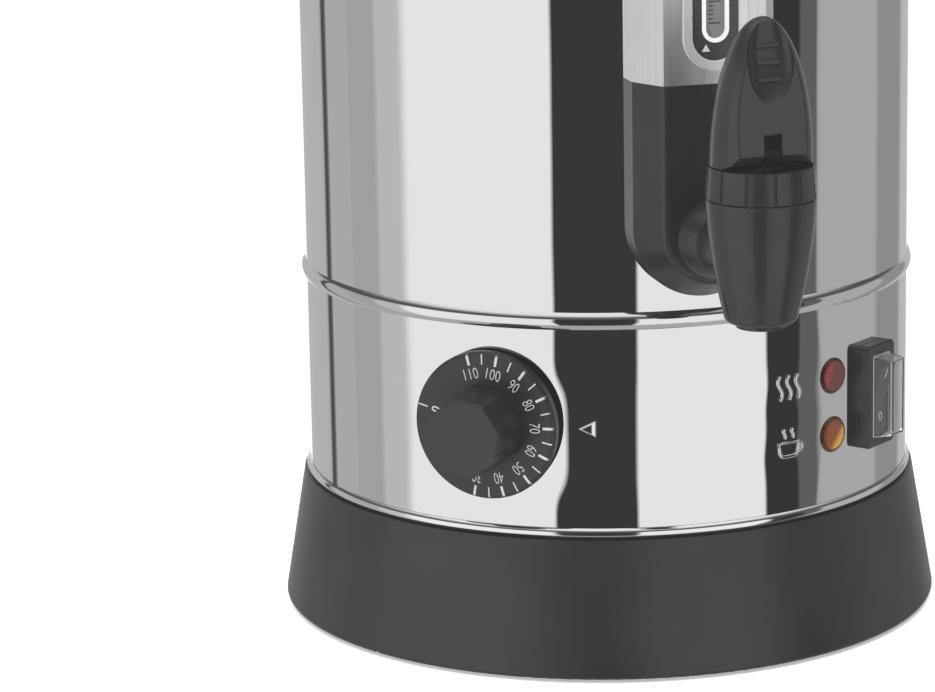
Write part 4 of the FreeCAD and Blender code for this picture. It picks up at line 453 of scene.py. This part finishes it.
def add_piece(name, mesh, body, material):
    """Makes a mesh into a piece that rides on a body, with its faces turned outwards."""
    shape = bmesh.new()
    shape.from_mesh(mesh)
    bmesh.ops.recalc_face_normals(shape, faces=shape.faces)
    shape.to_mesh(mesh)
    shape.free()
    mesh.materials.clear()
    mesh.materials.append(material)
    made = bpy.data.objects.new(name, mesh)
    bpy.context.scene.collection.objects.link(made)
    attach(made, body)
    print(f"{name}: {len(mesh.polygons)} faces on {body}")


print("the knob stands at azimuth", round(math.degrees(middle("knob_dial")[0]), 1))

# %% [markdown]
# ## The thermostat's scale
# The dial turns with the knob, and a raised triangle on the shell points at the set temperature. A
# number every ten degrees and a mark every five are printed on it in white. The marks repeat, so a
# Geometry Nodes tree sets copies of one bar in a ring or in a row, and makes every so many longer
# or thicker. The same tree later makes the gauge's marks.

# %% A tree that sets marks in a ring or a row
def tree_with(name, sockets):
    """A Geometry Nodes tree with these inputs, its input node and its output node."""
    tree = bpy.data.node_groups.new(name, "GeometryNodeTree")
    tree.interface.new_socket("Geometry", in_out="OUTPUT", socket_type="NodeSocketGeometry")
    for label, kind in sockets.items():
        tree.interface.new_socket(label, in_out="INPUT", socket_type="NodeSocket" + kind)
    return tree, node(tree, "NodeGroupInput").outputs, node(tree, "NodeGroupOutput").inputs


def copies_of(tree, points, shape, turned, scale, material):
    """Sets the shape on every point, makes the copies real and gives them their material."""
    euler = node(tree, "ShaderNodeCombineXYZ", {"Z": turned}).outputs["Vector"]
    rotation = node(tree, "FunctionNodeEulerToRotation", {"Euler": euler}).outputs["Rotation"]
    copies = node(tree, "GeometryNodeInstanceOnPoints", {
        "Points": points, "Instance": shape, "Rotation": rotation, "Scale": scale}).outputs["Instances"]
    real = node(tree, "GeometryNodeRealizeInstances", {"Geometry": copies}).outputs["Geometry"]
    dressed = node(tree, "GeometryNodeSetMaterial", {"Geometry": real, "Material": material})
    return dressed.outputs["Geometry"]


def marks_tree():
    """Bars in a ring, or in a row when Turn and Reach are 0. Every so many is Long and Thick."""
    tree, given, result = tree_with("row of marks", {
        "Count": "Int", "Start": "Float", "Turn": "Float", "Rise": "Float", "Reach": "Float",
        "Every": "Int", "Long": "Float", "Short": "Float", "Thick": "Float", "Thin": "Float",
        "Height": "Float", "Material": "Material"})
    index = node(tree, "GeometryNodeInputIndex").outputs["Index"]
    angle = math_node(tree, "MULTIPLY_ADD", index, given["Turn"], given["Start"])
    across = math_node(tree, "MULTIPLY", math_node(tree, "COSINE", angle), given["Reach"])
    risen = math_node(tree, "MULTIPLY", index, given["Rise"])
    upright = math_node(tree, "MULTIPLY_ADD", math_node(tree, "SINE", angle), given["Reach"], risen)
    place = node(tree, "ShaderNodeCombineXYZ", {"X": across, "Y": upright}).outputs["Vector"]
    points = node(tree, "GeometryNodePoints", {"Count": given["Count"], "Position": place})
    plain = math_node(tree, "GREATER_THAN", math_node(tree, "MODULO", index, given["Every"]), 0.5)
    sizes = {}
    for axis, main, other in (("X", "Long", "Short"), ("Y", "Thick", "Thin")):
        less = math_node(tree, "SUBTRACT", given[other], given[main])
        sizes[axis] = math_node(tree, "MULTIPLY_ADD", plain, less, given[main])
    scale = node(tree, "ShaderNodeCombineXYZ", {**sizes, "Z": given["Height"]}).outputs["Vector"]
    # Points along a bar let it follow a round surface. It starts at its point and runs outwards.
    cube = node(tree, "GeometryNodeMeshCube", {"Size": (1, 1, 1), "Vertices X": 9}).outputs["Mesh"]
    bar = node(tree, "GeometryNodeTransform", {"Geometry": cube, "Translation": (0.5, 0, 0)})
    made = copies_of(tree, points.outputs["Geometry"], bar.outputs["Geometry"], angle, scale,
                     given["Material"])
    tree.links.new(made, result["Geometry"])
    return tree


def evaluated(host):
    """The mesh that an object has once its modifiers and curves are worked out. The object goes."""
    graph = bpy.context.evaluated_depsgraph_get()
    mesh = bpy.data.meshes.new_from_object(host.evaluated_get(graph), depsgraph=graph)
    host.modifiers.clear()
    bpy.data.objects.remove(host)
    return mesh


def printed(tree, **values):
    """Runs the tree of marks once. What isn't named here has its plainest value."""
    host = bpy.data.objects.new("host", bpy.data.meshes.new("host"))
    bpy.context.scene.collection.objects.link(host)
    modifier = host.modifiers.new("tree", "NODES")
    modifier.node_group = tree
    plainest = {"Count": 1, "Every": 1, "Height": INK}
    for item in tree.interface.items_tree:
        if item.in_out == "INPUT":
            modifier[item.identifier] = values.get(item.name, plainest.get(item.name, 0.0))
    return evaluated(host)


# White printing ink: dull, and a little uneven where it was pressed on.
white_ink = moulded("white printing ink", "c4c4c2", "d2d2d0", 0.45, 0.55, 0.6 * MM, 0.002 * MM)
black_ink = moulded("black printing ink", "262626", "2e2e2e", 0.45, 0.55, 0.6 * MM, 0.002 * MM)
INK = 0.05 * MM
marks = marks_tree()
print("inputs of the tree:", ", ".join(i.name for i in marks.interface.items_tree[1:]))

# %% Ticks on the dial
DIAL_FACE = 127 * MM
TICKS_FROM = 23.6 * MM
knob_axis = Vector(joints["knob_turn"]["axis"])
knob_azimuth = math.atan2(knob_axis.x, -knob_axis.y)
dial_place = on_wall(knob_azimuth, joints["knob_turn"]["pos_m"][2], DIAL_FACE)
dial_skin = skin("knob_dial")
# The scale's first and last temperature, and how far the dial turns for one degree.
FIRST, LAST, PER_DEGREE = 30, 110, math.radians(2.55)
# The dial's setting at rest, and where the pointer stands, from 3 o'clock.
SET_AT, POINTER = 70, math.radians(2.3)


def dial_angle(temperature):
    """Where a temperature stands on the dial at rest, from 3 o'clock, the way that the numbers grow."""
    return POINTER + (temperature - SET_AT) * PER_DEGREE


ticks = printed(
    marks, Count=(LAST - FIRST) // 5 + 1, Start=dial_angle(FIRST), Turn=5 * PER_DEGREE,
    Reach=TICKS_FROM, Every=2, Long=4.3 * MM, Short=3.9 * MM, Thick=1.0 * MM, Thin=0.5 * MM,
    Material=white_ink)
let_down(ticks, dial_place, dial_skin)
add_piece("dial_ticks", ticks, "knob", white_ink)

# %% [markdown]
# Numbers are text. Blender's own font is wide, and the dial's is narrow, so each number is drawn,
# made a mesh and squeezed to its real size before it is turned to its place with its top outwards.

# %% Numbers on the dial
def drawn(curve, tall=None, wide=None, thick=None):
    """A text or curve as a mesh, centred and scaled to the sizes that are given."""
    host = bpy.data.objects.new("host", curve)
    bpy.context.scene.collection.objects.link(host)
    mesh = evaluated(host)
    spans = [[v.co[axis] for v in mesh.vertices] for axis in range(3)]
    for vertex in mesh.vertices:
        for axis, wanted in enumerate((wide, tall, thick)):
            if wanted:
                low, high = min(spans[axis]), max(spans[axis])
                vertex.co[axis] = (vertex.co[axis] - (low + high) / 2) * wanted / (high - low)
    return mesh


def lettering(words, tall, wide, bold=0.01):
    """Words as a thin solid mesh of that height and width."""
    text = bpy.data.curves.new(words, "FONT")
    text.body = words
    text.extrude = 0.1
    text.offset = bold
    text.resolution_u = 6
    return drawn(text, tall, wide, INK)


def joined(meshes):
    """Several meshes as one."""
    shape = bmesh.new()
    for mesh in meshes:
        shape.from_mesh(mesh)
    whole = bpy.data.meshes.new("joined")
    shape.to_mesh(whole)
    shape.free()
    return whole


def on_dial(mesh, turned):
    """Moves a figure out to its place on the dial, with its top outwards."""
    outwards = Vector((math.cos(turned), math.sin(turned), 0)) * DIGITS_AT
    mesh.transform(Matrix.Translation(outwards) @ Matrix.Rotation(turned - math.pi / 2, 4, "Z"))
    return mesh


DIGITS_AT, DIGIT_TALL, DIGIT_WIDE = 20.35 * MM, 4.2 * MM, 1.9 * MM
OFF_AT = math.radians(166)
numbers = []
for temperature in range(FIRST, LAST + 1, 10):
    words = str(temperature)
    number = lettering(words, DIGIT_TALL, DIGIT_WIDE * len(words), -0.012)
    numbers.append(on_dial(number, dial_angle(temperature)))
zero = on_dial(lettering("0", 3.4 * MM, 2.2 * MM), OFF_AT)
off_tick = printed(marks, Start=OFF_AT, Reach=23.7 * MM, Long=3.9 * MM, Thick=0.5 * MM,
                   Material=white_ink)
figures = joined(numbers + [zero, off_tick])
let_down(figures, dial_place, dial_skin)
add_piece("dial_numbers", figures, "knob", white_ink)

# %% [markdown]
# ## Signs pressed into the shell
# The triangle beside the dial and the signs beside the lamps are pressed up from the sheet, about
# half a millimetre, with round shoulders that catch the light. Each line of a sign is a curve with
# a round bevel, flattened to a low ridge. Rising heat stands by the red lamp, and a warm cup by the
# amber one.

# %% Raised signs
def draw_line(curve, points, closed):
    """Adds a line of straight pieces to a curve."""
    spline = curve.splines.new("POLY")
    spline.points.add(len(points) - 1)
    for point, (x, y) in zip(spline.points, points):
        point.co = (x, y, 0, 1)
    spline.use_cyclic_u = closed


def ridge(lines):
    """Lines of (points, closed) as low round ridges, shaded smooth."""
    curve = bpy.data.curves.new("ridge", "CURVE")
    curve.dimensions = "3D"
    curve.bevel_depth = RIDGE_WIDE / 2
    curve.bevel_resolution = 3
    curve.use_fill_caps = True
    for points, closed in lines:
        draw_line(curve, points, closed)
    mesh = drawn(curve)
    mesh.transform(Matrix.Scale(RIDGE_HIGH / (RIDGE_WIDE / 2), 4, (0, 0, 1)))
    mesh.polygons.foreach_set("use_smooth", [True] * len(mesh.polygons))
    return mesh


def wave(x, low, high, swing, steps=24):
    """A line that sways once to each side on its way up."""
    return [(x + swing * math.sin(2 * math.pi * i / steps), low + (high - low) * i / steps)
            for i in range(steps + 1)]


def arc(x, y, radius, start, stop, steps=12):
    """Points round part of a circle, from one angle in degrees to another."""
    turns = [math.radians(start + (stop - start) * i / steps) for i in range(steps + 1)]
    return [(x + radius * math.cos(turn), y + radius * math.sin(turn)) for turn in turns]


def warm_cup(half):
    """A cup that is twice half wide, with its handle and two wisps of steam, as lines."""
    corner = half * 0.45
    bowl = [(-half, 0), *arc(-corner, -half * 0.65, corner, 180, 270),
            *arc(corner, -half * 0.65, corner, 270, 360), (half, 0)]
    handle = arc(half * 0.98, -half * 0.42, half * 0.34, 80, -80)
    steam = [wave(x * half, half * 0.35, half * 1.15, 0.4 * MM) for x in (-0.45, 0.35)]
    return [(bowl, True), (handle, False), (steam[0], False), (steam[1], False)]


shell_skin = skin("lower_shell")
steel = finishes["mirror_steel"]
RIDGE_WIDE, RIDGE_HIGH = 1.5 * MM, 0.6 * MM
lamp_azimuth, red_height = middle("heating_lamp_lens")
amber_height = middle("warm_lamp_lens")[1]
SIGN_AZIMUTH = lamp_azimuth - math.radians(10.6)
heat_lines = [(wave(x * MM, -4.8 * MM, 4.8 * MM, 1.0 * MM), False) for x in (-4.2, 0, 4.2)]
for name, lines, height in (("heat_sign", heat_lines, red_height - 1 * MM),
                            ("cup_sign", warm_cup(4.8 * MM), amber_height + 0.5 * MM)):
    sign = ridge(lines)
    let_down(sign, on_wall(SIGN_AZIMUTH, height, SHELL_RADIUS), shell_skin)
    add_piece(name, sign, "urn", steel)

# %% The pointer's triangle
def pressed(corners, slopes, steps):
    """A pressed-up plate. Each edge has its own slope width. A step is (share of it, height)."""
    shape = bmesh.new()
    rings = []
    for share, high in steps:
        lines = []
        for i, corner in enumerate(corners):
            along = (Vector(corners[(i + 1) % len(corners)]) - Vector(corner)).normalized()
            inwards = Vector((-along.y, along.x))
            lines.append((Vector(corner) + inwards * slopes[i] * share, along))
        ring = []
        for i in range(len(lines)):
            (p, along), (q, other) = lines[i - 1], lines[i]
            distance = (q - p).cross(other) / along.cross(other)
            spot = p + along * distance
            ring.append(shape.verts.new((spot.x, spot.y, high)))
        rings.append(ring)
    count = len(corners)
    for low, high in zip(rings, rings[1:]):
        for i in range(count):
            shape.faces.new((low[i], low[(i + 1) % count], high[(i + 1) % count], high[i]))
    shape.faces.new(rings[-1])
    shape.faces.new(reversed(rings[0]))
    mesh = bpy.data.meshes.new("pressed")
    shape.to_mesh(mesh)
    shape.free()
    return mesh


def raised(outline, high, shoulder):
    """A raised plate with that outline and round shoulders."""
    curve = bpy.data.curves.new("raised", "CURVE")
    curve.dimensions = "2D"
    curve.fill_mode = "BOTH"
    curve.extrude = shoulder * 0.2
    curve.bevel_depth = shoulder
    curve.bevel_resolution = 4
    curve.offset = -shoulder
    draw_line(curve, outline, True)
    mesh = drawn(curve)
    mesh.transform(Matrix.Scale(high / (shoulder * 1.2), 4, (0, 0, 1)))
    return mesh


TIP, BACK = math.radians(-21.6), math.radians(-18.4)
POINTER_HEIGHT, POINTER_HALF = 96.1 * MM, 3.3 * MM
SLOPES = (0.7 * MM, 1.6 * MM, 0.7 * MM)
STEPS = ((0, -0.1 * MM), (0.05, 0.2 * MM), (0.2, 0.4 * MM), (0.85, 0.78 * MM), (1, 0.82 * MM))
reach = (BACK - TIP) / 2 * SHELL_RADIUS
pointer = pressed([(-reach, 0), (reach, -POINTER_HALF), (reach, POINTER_HALF)], SLOPES, STEPS)
let_down(pointer, on_wall((TIP + BACK) / 2, POINTER_HEIGHT, SHELL_RADIUS), shell_skin)
add_piece("pointer_triangle", pointer, "urn", steel)

# %% [markdown]
# ## The gauge's scale and the switch's marks
# The strip in the gauge's slot carries a long mark for every step and four short ones between. A
# plain triangle under the slot stands for the lowest level. The rocker has 0 and I moulded in white.

# %% Marks on the gauge and on the rocker
LOWEST, MARK_PITCH, MARK_COUNT = 250.6 * MM, 1.57 * MM, 41
GAUGE_FACE = 143 * MM
gauge_marks = printed(
    marks, Count=MARK_COUNT, Rise=MARK_PITCH, Every=5, Long=4.6 * MM, Short=1.8 * MM,
    Thick=0.45 * MM, Thin=0.4 * MM, Material=black_ink)
gauge_marks.transform(Matrix.Translation((-2.4 * MM, 0, 0)))
let_down(gauge_marks, on_wall(0, LOWEST, GAUGE_FACE), skin("gauge_window"))
add_piece("gauge_marks", gauge_marks, "urn", black_ink)

level_sign = raised([(-1.6 * MM, -1.1 * MM), (1.6 * MM, -1.1 * MM), (0, 1.5 * MM)], INK, 0.1 * MM)
level_sign.transform(Matrix.Translation((-3.6 * MM, 0, 0)))
let_down(level_sign, on_wall(0, 241.6 * MM, GAUGE_FACE), skin("gauge_panel"))
add_piece("lowest_level_mark", level_sign, "urn", white_ink)

ROCKER_FACE = 128 * MM
rocker_azimuth, rocker_height = middle("rocker_key")
rocker_skin = skin("rocker_key")
for name, words, height, wide in (("rocker_off_mark", "0", -8.6 * MM, 2.4 * MM),
                                  ("rocker_on_mark", "I", 8.6 * MM, 0.6 * MM)):
    mark = lettering(words, 3.6 * MM, wide, 0.0)
    let_down(mark, on_wall(rocker_azimuth, rocker_height + height, ROCKER_FACE), rocker_skin)
    add_piece(name, mark, "rocker", white_ink)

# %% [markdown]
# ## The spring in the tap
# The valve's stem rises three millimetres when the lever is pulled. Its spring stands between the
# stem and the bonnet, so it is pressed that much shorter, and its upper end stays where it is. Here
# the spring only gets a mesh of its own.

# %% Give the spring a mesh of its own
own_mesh(nodes["valve_spring"])

# %% [markdown]
# ## The studio
# Polished steel has no colour of its own: its light and dark stripes are the studio's white walls
# and the dark gaps between them. So the world is a ring of upright cards, each with its place and
# its grey, under a white ceiling. The camera itself sees plain white. The floor is pale, and isn't
# mirrored, as a sheet of paper that ends close to the urn wouldn't be. Between the cards and the
# lit ceiling the studio is dark, which draws the dark lines along the bead and the bright ring.

# %% Cards round the urn
# Each card runs from one azimuth to another, in degrees, and has the grey that the steel shows.
CARDS = (
    (-180, -149.3, "aeaeae"), (-148.4, -145.0, "4a4a4a"), (-144.1, -128, "a9a9a9"),
    (-127, -112, "a2a2a2"), (-110, -99, "b8b8b8"), (-95, -35.8, "e4e4e4"),
    (-35.2, -5.4, "353534"), (-5.0, 45.8, "e4e4e4"), (46.4, 60.8, "323231"),
    (61.2, 69.6, "5e5e5e"), (70.4, 106, "a8a8a8"), (109, 131, "8c8c8c"),
    (135, 150, "b0b0b0"), (156, 180, "f2f2f2"),
)
# The share of light that the steel gives back. The cards are lighter than what it shows of them.
STEEL_SHINE = 0.791
world = bpy.data.worlds.new("studio")
world.use_nodes = True
sky = world.node_tree
sky.nodes.clear()
toward = node(sky, "ShaderNodeSeparateXYZ", {
    "Vector": node(sky, "ShaderNodeTexCoord").outputs["Generated"]}).outputs
back = math_node(sky, "MULTIPLY", toward["Y"], -1.0)
azimuth = math_node(sky, "ARCTAN2", toward["X"], back)
around = math_node(sky, "MULTIPLY_ADD", azimuth, 1 / (2 * math.pi), 0.5)
cards = node(sky, "ShaderNodeValToRGB", {"Fac": around})
stops = [(edge / 360 + 0.5, code) for start, stop, code in CARDS for edge in (start, stop)]
ramp = cards.color_ramp.elements
while len(ramp) < len(stops):
    ramp.new(0.5)
for stop, (place, code) in zip(ramp, stops):
    stop.position = place
    stop.color = [value / STEEL_SHINE for value in colour(code)[:3]] + [1]


def above(start, stop):
    """How far a direction has risen from one angle to the other, in degrees above level."""
    return ease(sky, toward["Z"], math.sin(math.radians(start)), math.sin(math.radians(stop)))


gap = blend(sky, above(13, 21), cards.outputs["Color"], "5c5c5b")
ceiling = blend(sky, above(30, 62), gap, "fafafa")
table = blend(sky, above(-34, -44), ceiling, "b8b8b8")
seen = node(sky, "ShaderNodeLightPath").outputs["Is Camera Ray"]
shown = blend(sky, seen, table, "ffffff")
lit = node(sky, "ShaderNodeBackground", {"Color": shown, "Strength": 1.0})
node(sky, "ShaderNodeOutputWorld", {"Surface": lit.outputs["Background"]})
bpy.context.scene.world = world
print(len(CARDS), "cards round the urn")

# %% Floor and lamps
paper, paper_tree, paper_shader = finish("white paper", Roughness=0.9, Emission_Color=colour("ffffff"),
                                         Emission_Strength=0.4)
tint(paper_tree, paper_shader, grain(paper_tree, 400 * MM), "f2f2f1", "f6f6f5")
shape = bmesh.new()
bmesh.ops.create_grid(shape, x_segments=4, y_segments=4, size=8)
sheet = bpy.data.meshes.new("floor")
shape.to_mesh(sheet)
shape.free()
sheet.materials.append(paper)
floor = bpy.data.objects.new("floor", sheet)
bpy.context.scene.collection.objects.link(floor)
floor.visible_glossy = False


def soft_lamp(name, place, size, watts):
    """A square area lamp that looks at the urn and isn't mirrored."""
    light = bpy.data.lights.new(name, "AREA")
    light.shape = "SQUARE"
    light.size = size
    light.energy = watts
    made = bpy.data.objects.new(name, light)
    bpy.context.scene.collection.objects.link(made)
    aimed = (-Vector(place)).to_track_quat("-Z", "Y").to_matrix().to_4x4()
    made.matrix_world = Matrix.Translation(place) @ aimed
    made.visible_glossy = False


soft_lamp("lamp_above", (-0.3, -0.5, 2.6), 3.0, 80)
soft_lamp("lamp_left", (-2.2, -1.6, 1.4), 1.6, 12)
# The switch and the lenses stand close to the shell, and the picture shows no mirror image of them.
for name in ("switch_frame", "switch_boot", "rocker_key", "switch_body", "heating_lamp_lens",
             "warm_lamp_lens", "rocker_off_mark", "rocker_on_mark"):
    bpy.data.objects[name].visible_glossy = False
print("floor and", len(bpy.data.lights), "lamps")

# %% How the picture is shown
scene = bpy.context.scene
scene.view_settings.view_transform = "Standard"
scene.view_settings.look = "None"
# The picture's black is a dark grey, as in print: a short toe lifts only the deepest shadows to it.
scene.view_settings.use_curve_mapping = True
toe = scene.view_settings.curve_mapping.curves[3]
toe.points[0].location = (0, 0.020)
toe.points.new(0.030, 0.034)
toe.points.new(0.060, 0.060)
scene.view_settings.curve_mapping.update()
print("studio ready")
